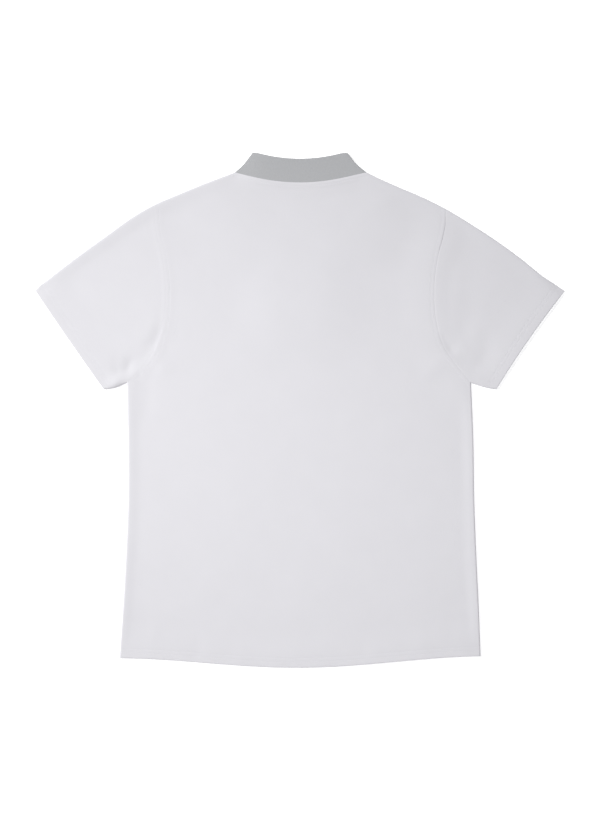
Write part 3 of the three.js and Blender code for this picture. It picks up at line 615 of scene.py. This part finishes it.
def wall_ends(normals, x, side_rows, folded, arm_lines, neckline):
    """Makes a panel's ends square: level at its folds, upright at the armholes and the neck."""
    middle = x.shape[1] // 2
    across = across_line(neckline)
    for column in range(middle + 1 - len(neckline), middle + len(neckline)):
        k = abs(column - middle)
        direction = np.array([across[k, 0] * np.sign(x[-1, column]), across[k, 1], 0])
        normals[-1, column] -= normals[-1, column].dot(direction) * direction
    for column in (0, -1):
        side = "left" if x[0, column] < 0 else "right"
        line = across_line(arm_lines[side]) * (SIGN[side], 1)
        direction = np.concatenate([line, np.zeros((len(line), 1))], axis=1)
        rows = normals[side_rows:, column]
        rows -= (rows * direction).sum(axis=1, keepdims=True) * direction
    normals[folded, 2] = 0
    normals /= np.maximum(np.linalg.norm(normals, axis=2, keepdims=True), 1e-9)


def hemmed(face, normals, up, groove, turn=HEM_TURN, wall=HEM_WALL, beyond=CLOTH):
    """A wall's outer and inner face. up is how far each point is from the hem's fold, which is round."""
    full = np.where(up < turn, wall, beyond)[..., None]
    share = np.maximum(round_over(up, wall / 2), 0.12)[..., None]
    sunk = full * (1 - share) / 2
    return face - normals * (sunk + groove[..., None]), face - normals * (full - sunk)


ARM_LINES = {panel: {side: resample(LINES[side][panel], arm_stations(LINES[side][panel])) for side in SIGN}
             for panel in ("back", "front")}


def above_hem(x):
    """How far each row of a body panel is above its hem. Those past its last even row are far from it."""
    ups = np.concatenate([ROW_UPS, np.full(len(x), np.inf)])[:len(x)]
    return np.broadcast_to(ups[:, None], x.shape)


def topstitch_line(side, panel):
    line = LINES[side][panel][::4]
    return mirrored(line - across_line(line) * TOPSTITCH, side)


x, y, folded, side_rows = body_grid("back", BACK_NECKLINE, 0, 0)
far = fold_distances(x, y, folded)
back_face = np.stack([x, y, top_height(x, y, far, "body")], axis=2)
normals = surface_normals(back_face)
wall_ends(normals, x, side_rows, folded, ARM_LINES["back"], BACK_NECKLINE)
sunk = grooves(x, y, [topstitch_line(side, "back") for side in SIGN], STITCH_GROOVE)
sunk = np.maximum(sunk, grooves(x, y, [BACK_SEAM - (0, TOPSTITCH)], NECK_STITCH_GROOVE))
sunk += grooves(x, y, [BACK_SEAM], SEAM_GROOVE) + armhole_groove(x, y, "back")
sunk = sunk * smooth(0, 4, far) + sewn_rows(above_hem(x), HEM_STITCHES)
outer, inner = hemmed(back_face, normals, above_hem(x), sunk)
back_panel = cloth_piece("back_panel_cloth", outer, inner, pique)
back_sewn = (outer, normals)
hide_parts("back_panel")

# FRONT PANEL
# It lies under the back, face down on the surface, and ends 10 mm short of it at the hem. A slit for
# the placket is cut from the neck down its middle.
PLACKET_HALF = 15.05
SLIT_BOTTOM_Y = 157
SLIT_COLUMNS = (0, 5, 10)

dense_front = collar_front(0, np.linspace(1, 0, 400))
outside = dense_front[dense_front[:, 0] >= PLACKET_HALF]
at_placket = np.array([[PLACKET_HALF, np.interp(PLACKET_HALF, dense_front[:, 0], dense_front[:, 1])]])
outside = np.concatenate([at_placket, outside])
front_run = resample(outside, half_steps(length_of(outside), CENTRE_PITCH, NECK_ROLL_STEPS))
over_slit = [(column, np.interp(column, dense_front[:, 0], dense_front[:, 1])) for column in SLIT_COLUMNS]
FRONT_NECKLINE = np.concatenate([over_slit, front_run])

FRONT_STITCHES = [line for side in SIGN for line in (
    topstitch_line(side, "front"), mirrored(outside[::12] - (0, TOPSTITCH), side))]
PLACKET_SEAMS = [np.array([[sign * 15, SLIT_BOTTOM_Y], [sign * 15, 289]]) for sign in (-1, 1)]

still = len(SLIT_COLUMNS)
x, y, folded, side_rows = body_grid("front", FRONT_NECKLINE, HEM_FRONT_RISE, still)
x, y, folded = x[:, ::-1], y[:, ::-1], folded[:, ::-1]
far = fold_distances(x, y, folded)
front_face = np.stack([x, y, bottom_height(x, y, far)], axis=2)
normals = surface_normals(front_face)
wall_ends(normals, x, side_rows, folded, ARM_LINES["front"], FRONT_NECKLINE)
middle = x.shape[1] // 2
slit_row = int(np.argmin(np.abs(y[:, middle] - SLIT_BOTTOM_Y)))
slit_y = y[slit_row, middle]
for column in (middle - still, middle + still):
    normals[slit_row:, column, 0] = 0
normals[slit_row, middle - still:middle + still + 1, 1] = 0
normals /= np.linalg.norm(normals, axis=2, keepdims=True)
kept = np.ones((x.shape[0] - 1, x.shape[1] - 1), bool)
kept[slit_row:, middle - still:middle + still] = False
sunk = grooves(x, y, FRONT_STITCHES, STITCH_GROOVE)
sunk += grooves(x, y, [FRONT_SEAM, *PLACKET_SEAMS], SEAM_GROOVE) + armhole_groove(x, y, "front")
sunk = sunk * smooth(0, 4, far) + sewn_rows(above_hem(x), HEM_STITCHES)
outer, inner = hemmed(front_face, normals, above_hem(x), sunk)
front_panel = cloth_piece("front_panel_cloth", outer, inner, pique, filled=kept)
front_sewn = (outer, normals)
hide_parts("front_panel")

# SLEEVES
# Each is one piece of pique with its seam along the underarm, set into the armhole. The seam
# allowance is pressed towards the body. The opening is turned up and sewn with a twin needle.
SLEEVE_NEAR_ARM = [0, 0.8, 1.8, 3, 4.5, 6.5, 9]
SLEEVE_EVEN_ROWS = 30
CUFF_STEPS = [0, 0.06, 0.25, 0.6, 1.15, 2.4, 5, 8, 11, 12.1, 13, 13.9, 15.5, 17.6, 18.5, 19.4, 20.4, 22]
CUFF_TURN = 20


def sleeve_patch(side, panel):
    """Plan points from the armhole to the opening, with how far each is from the opening."""
    arm = ARM_LINES[panel][side]
    mouth = resample(LINES[side]["mouth"], arm_stations(LINES[side]["mouth"]))
    share = arm_stations(LINES[side]["mouth"]) / length_of(LINES[side]["mouth"])
    run = np.hypot(*(mouth - arm).T)
    near = np.array(SLEEVE_NEAR_ARM)[:, None] / run
    out = 1 - np.array(CUFF_STEPS[::-1])[:, None] / run
    even = blend(near[-1], out[0], np.linspace(0, 1, SLEEVE_EVEN_ROWS + 2)[1:-1, None])
    w = np.concatenate([near, even, out])[..., None]
    ruled = arm + (mouth - arm) * w
    over_x = blend(SHOULDER_X, SLEEVE_TIP_X, w[..., 0])
    over = np.stack([over_x, read(OVERARM[side], over_x)], axis=2)
    points = ruled + (over - (arm[-1] + (mouth[-1] - arm[-1]) * w)) * share[:, None]
    bowed = underarm(side, w[:, 0, 0]) - (arm[0] + (mouth[0] - arm[0]) * w[:, 0])
    points += bowed[:, None] * (1 - share)[:, None]
    step = across_line(arm) * SEAM / 2
    for end, reach in ((0, 0.75), (-1, 0.5)):
        along = points[1, end] - points[0, end]
        step[end] = along / np.hypot(*along) * SEAM * reach
    points[0] += step
    return points, (1 - w[..., 0]) * run, across_line(arm)


sleeves_sewn = []
for side, sign in SIGN.items():
    top, from_top, across_top = sleeve_patch(side, "back")
    under, from_under, across_under = sleeve_patch(side, "front")
    plan = np.concatenate([top, under[:, -2:0:-1]], axis=1) * (sign, 1)
    up = np.concatenate([from_top, from_under[:, -2:0:-1]], axis=1)
    across = np.concatenate([across_top, across_under[-2:0:-1]]) * (sign, 1)
    count = top.shape[1]
    x, y = plan[..., 0], plan[..., 1]
    folded = np.zeros(x.shape, bool)
    folded[:, (0, count - 1)] = True
    far = fold_distances(x, y, folded)
    upper = top_height(x, y, far, "sleeve")
    lower = bottom_height(x, y, far)
    z = np.where(np.arange(x.shape[1]) < count, upper, lower)
    z = np.where(folded, roll_radius(x, y), z)
    sunk = sewn_rows(up, CUFF_STITCHES)
    sunk += armhole_groove(x, y, "back") * (z > 3) * smooth(0, 4, far)
    face = np.stack([x, y, z], axis=2)
    if sign > 0:
        face, up, sunk, across = face[:, ::-1], up[:, ::-1], sunk[:, ::-1], across[::-1]
    normals = surface_normals(face, ring=True)
    direction = np.concatenate([across, np.zeros((len(across), 1))], axis=1)
    normals[0] -= (normals[0] * direction).sum(axis=1, keepdims=True) * direction
    normals[0] /= np.linalg.norm(normals[0], axis=1, keepdims=True)
    outer, inner = hemmed(face, normals, up, sunk, turn=CUFF_TURN)
    mouth = LINES[side]["mouth"]
    lean = math.atan2(*(mouth[-1] - mouth[0])[::-1]) * sign
    turned = np.stack([face[..., 0] * math.cos(lean) + face[..., 1] * math.sin(lean),
                       face[..., 1] * math.cos(lean) - face[..., 0] * math.sin(lean)], axis=2)
    sleeve = cloth_piece(f"sleeve_{side}_cloth", outer, inner, pique, ring=True, knit=turned)
    sleeves_sewn.append((outer, normals))
    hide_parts(f"sleeve_{side}")

# COLLAR
# A band of flat-knitted rib, sewn on at the neck seam and standing up from it. Laid flat, it folds
# over at the sides of the neck, and its two ends meet over the placket at the centre front.
RIB = 2.0
RIB_PITCH = 2.6
RIB_COURSE = 1.5
RIB_DEPTH = 0.16
COLLAR_COLUMN = 0.55
COLLAR_UPS = [SEAM, 0.9, 1.9, 3, 4.5, *np.arange(6, 31, 2), 31.4, 32.4, 33, 33.4, 33.75, 33.94, 34]
FOLD_STEPS = [0, 0.05, 0.2, 0.45, 0.8, 1.2, 1.6, 2.1, 2.6, 3.1, 3.5, 4]


def grey_rib():
    """Flat-knitted cotton rib in light grey: fine upright wales, dry and matte, with a faint melange."""
    material, tree = fresh("light grey cotton rib")
    place = add(tree, "ShaderNodeUVMap", uv_map="knit").outputs["UV"]
    stretched = add(tree, "ShaderNodeVectorMath", {0: place, 1: (1000 / 1.3, 1000 / 3.2, 1)},
                    operation="MULTIPLY").outputs[0]
    yarn = add(tree, "ShaderNodeTexNoise", {"Vector": stretched, "Scale": 1.0, "Detail": 3.0}).outputs[0]
    stitches = (4000 * math.pi / RIB_PITCH, 2000 * math.pi / RIB_COURSE, 0)
    turns = add(tree, "ShaderNodeVectorMath", {0: place, 1: stitches}, operation="MULTIPLY").outputs[0]
    axes = add(tree, "ShaderNodeSeparateXYZ", {0: turns}).outputs
    stitch = add(tree, "ShaderNodeMath", {0: axes[1]}, operation="SINE").outputs[0]
    height = add(tree, "ShaderNodeMath", {0: yarn, 1: 1.5, 2: stitch}, operation="MULTIPLY_ADD").outputs[0]
    raised = add(tree, "ShaderNodeBump", {"Height": height, "Strength": 0.3, "Distance": 0.0001}).outputs[0]
    colour = add(tree, "ShaderNodeMix", {"Factor": yarn, "A": linear("#aeafb1"), "B": linear("#bdbec0")},
                 data_type="RGBA")
    shader = add(tree, "ShaderNodeBsdfPrincipled", {
        "Base Color": colour.outputs["Result"], "Roughness": 0.95, "IOR": 1.45, "Normal": raised,
        "Specular IOR Level": 0.2, "Sheen Weight": 0.1, "Sheen Roughness": 0.5})
    add(tree, "ShaderNodeOutputMaterial", {"Surface": shader.outputs[0]})
    return material


back_half = length_of(collar_back(0.5, np.linspace(0, 1, 100)))
dense = np.linspace(0, 1, 400)
front_half = length_of(collar_front(0.5, dense))
back_arc = half_steps(back_half, COLLAR_COLUMN, FOLD_STEPS)
front_arc = back_half + front_half - half_steps(front_half, COLLAR_COLUMN, FOLD_STEPS)[::-1]
front_walk = np.concatenate([[0], np.cumsum(np.hypot(*np.diff(collar_front(0.5, dense), axis=0).T))])
front_t = np.interp(front_arc - back_half, front_walk, dense)
half_arc = np.concatenate([back_arc, front_arc[1:]])
fold_column = len(back_arc) - 1
half_plan = np.array([np.concatenate([collar_back(up / COLLAR_HEIGHT, back_arc / back_half),
                                      collar_front(up / COLLAR_HEIGHT, front_t)[1:]]) for up in COLLAR_UPS])
x = np.concatenate([-half_plan[:, :0:-1, 0], half_plan[..., 0]], axis=1)
y = np.concatenate([half_plan[:, :0:-1, 1], half_plan[..., 1]], axis=1)
arc = np.concatenate([-half_arc[:0:-1], half_arc])
middle = len(half_arc) - 1
from_middle = np.abs(np.arange(len(arc)) - middle)
folded = np.broadcast_to(from_middle == fold_column, x.shape)
far = fold_distances(x, y, folded)
z = np.where(from_middle < fold_column, top_height(x, y, far, "collar"), bottom_height(x, y, far))
z = np.where(folded, roll_radius(x, y), z)
face = np.stack([x, y, z], axis=2)
normals = surface_normals(face)
seam_across = across_line(face[0, :, :2])
seam_across = np.concatenate([seam_across, np.zeros((len(seam_across), 1))], axis=1)
normals[0] -= (normals[0] * seam_across).sum(axis=1, keepdims=True) * seam_across
normals[0] /= np.linalg.norm(normals[0], axis=1, keepdims=True)
below_top = COLLAR_HEIGHT - np.array(COLLAR_UPS)[:, None] + np.zeros_like(x)
ribs = RIB_DEPTH * (0.5 - 0.5 * np.cos(2 * math.pi * arc / RIB_PITCH)) * smooth(0.8, 2.5, below_top)
sunk = ribs + grooves(x, y, [BACK_SEAM, FRONT_SEAM], SEAM_GROOVE) * smooth(0, 4, far)
outer, inner = hemmed(face, normals, below_top, sunk, turn=99, wall=RIB)
rib_plan = np.stack([np.broadcast_to(arc, x.shape), COLLAR_HEIGHT - below_top], axis=2)
collar = cloth_piece("collar_band", outer, inner, grey_rib(), knit=rib_plan)
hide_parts("collar")

# PLACKET BANDS
# Two strips of pique that close the slit: the upper one, with the buttonholes, lies outside, and the
# under one, with the buttons, behind it. Both are edge-stitched, with a stitched box at the bottom.
BAND = 1.0
UNDER_BAND_RISE = 1.4
UNDER_BAND_LAP = 3
EDGE_ROUND = [0, 0.04, 0.15, 0.35, 0.6]


def band(name, from_x, to_x, rise, sewn):
    """A strip between two distances from the centre line, on the rows of the slit."""
    width = to_x - from_x
    steps = np.array([*EDGE_ROUND, 1.2, 2, 2.8, 4, 6, 9, 12])
    steps = steps[steps < width / 2 - 0.5]
    across_x = from_x + np.concatenate([steps, [width / 2], width - steps[::-1]])
    across_x = across_x[::-1]
    share = np.linspace(0, 1, 56)[:, None]
    top_y = np.interp(np.abs(across_x), dense_front[:, 0], dense_front[:, 1]) - SEAM
    y = blend(slit_y + SEAM, top_y, share)
    x = np.broadcast_to(across_x, y.shape)
    face = np.stack([x, y, lift(x, y) + rise], axis=2)
    normals = surface_normals(face)
    normals[:, :, 0] = 0
    normals[(0, -1), :, 1] = 0
    normals /= np.linalg.norm(normals, axis=2, keepdims=True)
    inset = np.minimum(np.abs(x - from_x), np.abs(to_x - x))
    sunk = grooves(x, y, sewn, STITCH_GROOVE)
    outer, inner = hemmed(face, normals, inset, sunk, turn=0, wall=BAND, beyond=BAND)
    strip = cloth_piece(name, outer, inner, pique)
    return strip


EDGE_STITCH = 2
BOX_HEIGHT = 13
box_left, box_right = -15 + EDGE_STITCH, 15 - EDGE_STITCH
box_low, box_high = slit_y + EDGE_STITCH, slit_y + BOX_HEIGHT
PLACKET_STITCHES = [np.array(path, float) for path in (
    [(box_left, box_low), (box_left, 287)], [(box_right, box_low), (box_right, 287)],
    [(box_left, box_low), (box_right, box_low)], [(box_left, box_high), (box_right, box_high)],
    [(box_left, box_low), (box_right, box_high)], [(box_right, box_low), (box_left, box_high)])]
upper_band = band("placket_upper_band", -15 + SEAM, 15 - SEAM, 0, PLACKET_STITCHES)
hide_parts("placket_upper")
under_band = band("placket_under_band", -15, 15 + UNDER_BAND_LAP, UNDER_BAND_RISE, [])
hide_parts("placket_under")

# BUTTONHOLES
# Upright slots worked in dense satin stitch on the upper band, each behind its button.
BUTTON_YS = (273.7, 223.7, 173.7)
BUTTONHOLE_LENGTH, SLOT_WIDTH = 15, 0.5
BAR_WIDTH, BAR_TACK = 1.1, 1.2
SATIN_PITCH = 0.55


def thread_material():
    """White spun polyester sewing thread: smoother than the knit, so that it catches a little light."""
    material, tree = fresh("white polyester thread")
    twist = add(tree, "ShaderNodeTexNoise", {"Scale": 2500.0, "Detail": 2.0}).outputs[0]
    raised = add(tree, "ShaderNodeBump", {"Height": twist, "Strength": 0.3, "Distance": 0.00005}).outputs[0]
    colour = add(tree, "ShaderNodeMix", {"Factor": twist, "A": linear("#e2e1e6"), "B": linear("#eeedf1")},
                 data_type="RGBA")
    shader = add(tree, "ShaderNodeBsdfPrincipled", {
        "Base Color": colour.outputs["Result"], "Roughness": 0.62, "IOR": 1.5, "Normal": raised,
        "Sheen Weight": 0.08})
    add(tree, "ShaderNodeOutputMaterial", {"Surface": shader.outputs[0]})
    return material


thread = thread_material()
STRAND_TURNS = np.linspace(0, 2 * math.pi, 6, endpoint=False)


def strand(points, normals, radii, sinks):
    """One short run of thread: rings of points round a line, and the faces between them."""
    along = np.gradient(points, axis=0)
    along /= np.linalg.norm(along, axis=1, keepdims=True)
    aside = np.cross(along, normals)
    centres = points - normals * np.array(sinks)[:, None]
    rings = (centres[:, None] + (aside[:, None] * np.cos(STRAND_TURNS)[:, None]
             + normals[:, None] * np.sin(STRAND_TURNS)[:, None]) * np.array(radii)[:, None, None])
    count, sides = rings.shape[:2]
    faces = [list(range(sides))[::-1], [(count - 1) * sides + j for j in range(sides)]]
    for low in range(0, (count - 1) * sides, sides):
        high = low + sides
        faces += [[low + j, low + (j + 1) % sides, high + (j + 1) % sides, high + j] for j in range(sides)]
    return rings.reshape(-1, 3), faces


def thread_piece(name, strands):
    points, faces, start = [], [], 0
    for ring_points, ring_faces in strands:
        points.append(ring_points)
        faces += [[corner + start for corner in face] for face in ring_faces]
        start += len(ring_points)
    mesh = bpy.data.meshes.new(name)
    laid = pulled(np.concatenate(points))
    laid[:, 2] = np.maximum(laid[:, 2], 0)     # thread on the underside is pressed flat
    mesh.from_pydata((laid / 1000).tolist(), [], faces)
    mesh.polygons.foreach_set("use_smooth", np.ones(len(mesh.polygons), bool))
    piece = bpy.data.objects.new(name, mesh)
    bpy.context.collection.objects.link(piece)
    piece.data.materials.append(thread)
    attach(piece, "root")
    return piece


def satin_bar(x, y, width, height):
    """Close strands one above the other, each laid across the bar."""
    out = []
    down = np.tile([0.0, 0.0, -1.0], (5, 1))
    for step in np.arange(-height / 2, height / 2, SATIN_PITCH):
        px, py = np.broadcast_arrays(x + np.array([-0.5, -0.38, 0, 0.38, 0.5]) * width, y + step)
        line = np.stack([px, py, lift(px, py)], axis=1)
        out.append(strand(line, down, [0.12, 0.26, 0.3, 0.26, 0.12], [0.15, -0.04, -0.1, -0.04, 0.15]))
    return out


worked = []
for button_y in BUTTON_YS:
    for sign in (-1, 1):
        worked += satin_bar(sign * (SLOT_WIDTH + BAR_WIDTH) / 2, button_y, BAR_WIDTH, BUTTONHOLE_LENGTH)
        worked += satin_bar(0, button_y + sign * BUTTONHOLE_LENGTH / 2, 2 * BAR_WIDTH + SLOT_WIDTH, BAR_TACK)
thread_piece("buttonhole_stitches", worked)

# BUTTONS
# Three four-hole polyester buttons, cast as rod, turned and tumbled to a satin finish. Each is sewn
# to the under band, and its face looks down at the surface that the shirt lies on.
BUTTON_R = 5.5
BUTTON_PROFILE = [(3.25, 0.72), (3.55, 0.62), (3.85, 0.3), (4.2, 0.08), (4.6, 0), (5.0, 0.06), (5.3, 0.28),
                  (5.45, 0.6), (BUTTON_R, 1.0), (5.4, 1.35), (5.1, 1.7), (4.6, 1.93), (4.0, 2.0)]
HOLE_R, HOLE_OFF = 0.8, 1.2
BUTTON_SIDES, HOLE_SIDES = 56, 16


def button_material():
    """Satin polyester resin: soft wide highlights, and a slight cloud in the white."""
    material, tree = fresh("white satin polyester")
    place = add(tree, "ShaderNodeTexCoord").outputs["Object"]
    cloud = add(tree, "ShaderNodeTexNoise", {"Vector": place, "Scale": 260.0, "Detail": 3.0}).outputs[0]
    colour = add(tree, "ShaderNodeMix", {"Factor": cloud, "A": linear("#e9e7e3"), "B": linear("#f5f4f1")},
                 data_type="RGBA")
    fine = add(tree, "ShaderNodeTexNoise", {"Vector": place, "Scale": 4000.0}).outputs[0]
    raised = add(tree, "ShaderNodeBump", {"Height": fine, "Strength": 0.08, "Distance": 0.00003}).outputs[0]
    shader = add(tree, "ShaderNodeBsdfPrincipled", {
        "Base Color": colour.outputs["Result"], "Roughness": 0.33, "IOR": 1.54, "Normal": raised,
        "Subsurface Weight": 0.05, "Subsurface Radius": (0.001, 0.001, 0.0008)})
    add(tree, "ShaderNodeOutputMaterial", {"Surface": shader.outputs[0]})
    return material


def circle(x, y, radius, sides):
    turns = np.linspace(0, 2 * math.pi, sides, endpoint=False)
    return [Vector((x + radius * math.cos(t), y + radius * math.sin(t))) for t in turns]


def button_mesh():
    """Turned rim and back, with the two flat discs between them pierced by four holes."""
    hole_centres = [(a * HOLE_OFF, b * HOLE_OFF) for a, b in ((1, 1), (-1, 1), (-1, -1), (1, -1))]
    points, faces = [], []
    for radius, height in BUTTON_PROFILE:
        points += [(p.x, p.y, height) for p in circle(0, 0, radius, BUTTON_SIDES)]
    for ring in range(len(BUTTON_PROFILE) - 1):
        for k in range(BUTTON_SIDES):
            a, b = ring * BUTTON_SIDES + k, ring * BUTTON_SIDES + (k + 1) % BUTTON_SIDES
            faces.append((a, a + BUTTON_SIDES, b + BUTTON_SIDES, b))
    hole_starts = []
    back_ring = (len(BUTTON_PROFILE) - 1) * BUTTON_SIDES
    for disc_radius, height, ring_start in ((*BUTTON_PROFILE[0], 0), (*BUTTON_PROFILE[-1], back_ring)):
        flat = circle(0, 0, disc_radius, BUTTON_SIDES)
        loops = [list(range(BUTTON_SIDES))]
        for hx, hy in hole_centres:
            loops.append(list(range(len(flat), len(flat) + HOLE_SIDES)))
            flat += circle(hx, hy, HOLE_R, HOLE_SIDES)
        edges = [(loop[k], loop[(k + 1) % len(loop)]) for loop in loops for k in range(len(loop))]
        _, _, triangles, *_ = delaunay_2d_cdt(flat, edges, [], 0, 1e-6)
        start = len(points)
        hole_starts.append(start + BUTTON_SIDES)
        points += [(p.x, p.y, height) for p in flat]
        for triangle in triangles:
            middle = sum((flat[c] for c in triangle), Vector((0, 0))) / 3
            if all((middle - Vector(centre)).length > HOLE_R * 0.9 for centre in hole_centres):
                corners = [ring_start + c if c < BUTTON_SIDES else start + c for c in triangle]
                faces.append(corners if height > 1 else corners[::-1])
    for k in range(4):
        low, high = (start + k * HOLE_SIDES for start in hole_starts)
        for j in range(HOLE_SIDES):
            j2 = (j + 1) % HOLE_SIDES
            faces.append((low + j, low + j2, high + j2, high + j))
    mesh = bpy.data.meshes.new("button")
    mesh.from_pydata((np.array(points) / 1000).tolist(), [], faces)
    loose = bmesh.new()
    loose.from_mesh(mesh)
    bmesh.ops.delete(loose, geom=[v for v in loose.verts if not v.link_faces], context="VERTS")
    bmesh.ops.recalc_face_normals(loose, faces=loose.faces)
    loose.to_mesh(mesh)
    loose.free()
    mesh.polygons.foreach_set("use_smooth", np.ones(len(mesh.polygons), bool))
    mesh.set_sharp_from_angle(angle=math.radians(50))
    return mesh


button_resin = button_material()
for number, button_y in enumerate(BUTTON_YS, 1):
    button = bpy.data.objects.new(f"button_{number}_face", button_mesh())
    bpy.context.collection.objects.link(button)
    button.location = (0, button_y / 1000, 0)
    button.data.materials.append(button_resin)
    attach(button, "root")
    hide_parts(f"button_{number}")

# Two pairs of holes, with three turns of thread through each pair, and on down to the under band
turns_of_thread = []
for button_y in BUTTON_YS:
    for side in (-1, 1):
        for aside in (-0.34, 0, 0.34):
            heights = [3.3, 1.4, 0.62, 0.46, 0.46, 0.62, 1.4, 3.3]
            run = [-HOLE_OFF, -HOLE_OFF, -0.95, -0.5, 0.5, 0.95, HOLE_OFF, HOLE_OFF]
            line = np.array([(side * HOLE_OFF + aside, button_y + r, h) for r, h in zip(run, heights)])
            sideways = np.tile([1.0, 0.0, 0.0], (len(line), 1))
            turns_of_thread.append(strand(line, sideways, [0.17] * len(line), [0] * len(line)))
thread_piece("button_thread", turns_of_thread)

# STITCHING
# Lockstitch in the same white thread: two rows round the hem and each cuff from a twin needle, and one
# row beside the neck seam, the armholes and the edges of the placket.
STITCH_PITCH = 3.1
STITCH_LENGTH = 2.4
THREAD_R = 0.25


def sewn_along(line, normals):
    """Stitches of even length along a line on the cloth."""
    run = np.concatenate([[0], np.cumsum(np.linalg.norm(np.diff(line, axis=0), axis=1))])
    count = int(run[-1] / STITCH_PITCH)
    out = []
    for k in range(count):
        at = (k + 0.12) * run[-1] / count + np.array([0, 0.22, 0.78, 1]) * STITCH_LENGTH
        points = np.stack([np.interp(at, run, line[:, axis]) for axis in range(3)], axis=1)
        ways = np.stack([np.interp(at, run, normals[:, axis]) for axis in range(3)], axis=1)
        ways /= np.linalg.norm(ways, axis=1, keepdims=True)
        out.append(strand(points, ways, np.array([0.45, 1, 1, 0.45]) * THREAD_R, [0.2, -0.04, -0.04, 0.2]))
    return out


def on_cloth(line, cover, groove=STITCH_GROOVE):
    """A plan line laid on the outer face of the back ("body") or the front ("under"), off the folds."""
    x, y = resample(line, np.linspace(0, length_of(line), int(length_of(line) / 1.2))).T
    far = fold_distances(x, y, np.zeros(x.shape, bool))
    shoulder_y = np.where(x < 0, read(OVERARM["left"], np.maximum(-x, NECK_X)),
                          read(OVERARM["right"], np.maximum(x, NECK_X)))
    z = top_height(x, y, far, "body") if cover == "body" else bottom_height(x, y, far)
    up = 1.0 if cover == "body" else -1.0
    z = z - up * groove["depth"] * smooth(0, 4, far)
    keep = (y < shoulder_y) & (far > 0.4)
    points = np.stack([x, y, z], axis=1)[keep]
    return points, np.tile([0.0, 0.0, up], (len(points), 1))


hem_thread, cuff_thread = [], []
for sewn_face, sewn_normals in (back_sewn, front_sewn):
    for up in HEM_STITCHES:
        row = HEM_STEPS.index(up)
        hem_thread += sewn_along(sewn_face[row], sewn_normals[row])
for sewn_face, sewn_normals in sleeves_sewn:
    for up in CUFF_STITCHES:
        row = len(sewn_face) - 1 - CUFF_STEPS.index(up)
        cuff_thread += sewn_along(np.vstack([sewn_face[row], sewn_face[row, :1]]),
                                  np.vstack([sewn_normals[row], sewn_normals[row, :1]]))
thread_piece("hem_stitches", hem_thread)
thread_piece("cuff_stitches", cuff_thread)
for name, lines in {
    "armhole_stitches": [(topstitch_line(side, panel), cover) for side in SIGN
                         for panel, cover in (("back", "body"), ("front", "under"))],
    "neck_stitches": [(BACK_SEAM - (0, TOPSTITCH), "body", NECK_STITCH_GROOVE),
                      *[(mirrored(outside[::12] - (0, TOPSTITCH), side), "under") for side in SIGN]],
    "placket_stitches": [(path, "under") for path in PLACKET_STITCHES],
}.items():
    thread_piece(name, [stitch for line in lines for stitch in sewn_along(*on_cloth(*line))])

# SURFACE, LIGHT AND CAMERA
# The shirt lies on a plain pale surface under soft light from the upper left, seen straight down.
FIELD = 819 * 1.55     # what the photograph's long side takes in
CAMERA_HEIGHT = 3000


def lit_paper():
    """Matte white paper on a lit table: a little light comes through it. From below it is left clear."""
    material, tree = fresh("matte white paper")
    grain = add(tree, "ShaderNodeTexNoise", {"Scale": 900.0, "Detail": 2.0}).outputs[0]
    raised = add(tree, "ShaderNodeBump", {"Height": grain, "Strength": 0.05, "Distance": 0.0002}).outputs[0]
    paper = add(tree, "ShaderNodeBsdfPrincipled", {
        "Base Color": linear("#fbfbfb"), "Roughness": 0.9, "Specular IOR Level": 0.1, "Normal": raised,
        "Emission Color": linear("#ffffff"), "Emission Strength": 0.52})
    clear = add(tree, "ShaderNodeBsdfTransparent").outputs[0]
    under = add(tree, "ShaderNodeNewGeometry").outputs["Backfacing"]
    either = add(tree, "ShaderNodeMixShader", {0: under, 1: paper.outputs[0], 2: clear}).outputs[0]
    add(tree, "ShaderNodeOutputMaterial", {"Surface": either})
    return material


FLOOR_HALF, FLOOR_DROP = 4, 0.0003     # metres; the small drop keeps it clear of the cloth
floor_mesh = bpy.data.meshes.new("floor")
floor_mesh.from_pydata([(x * FLOOR_HALF, y * FLOOR_HALF, -FLOOR_DROP)
                        for x, y in ((-1, -1), (1, -1), (1, 1), (-1, 1))], [], [(0, 1, 2, 3)])
floor = bpy.data.objects.new("floor", floor_mesh)
bpy.context.collection.objects.link(floor)
floor_mesh.materials.append(lit_paper())

world = bpy.data.worlds.new("studio")
world.use_nodes = True
world.node_tree.nodes["Background"].inputs["Color"].default_value = linear("#fafafc")
world.node_tree.nodes["Background"].inputs["Strength"].default_value = 0.42
bpy.context.scene.world = world
bpy.context.scene.view_settings.view_transform = "Standard"


# One large softbox with a grid, aimed at the left sleeve, so that the light falls off to the right
light = bpy.data.lights.new("key softbox", "AREA")
light.shape = "DISK"
light.size = 1.2
light.energy = 8.0
light.spread = math.radians(44)
key = bpy.data.objects.new("key softbox", light)
bpy.context.collection.objects.link(key)
key.location = (-2.3, 1.0, 2.6)
key.rotation_euler = (Vector((0, -0.14, 0)) - key.location).to_track_quat("-Z", "Y").to_euler()

camera = bpy.data.objects.new("camera", bpy.data.cameras.new("camera"))
bpy.context.collection.objects.link(camera)
camera.location = (0, 0, CAMERA_HEIGHT / 1000)
camera.data.sensor_fit = "VERTICAL"
camera.data.angle = 2 * math.atan(FIELD / 2 / CAMERA_HEIGHT)
bpy.context.scene.camera = camera
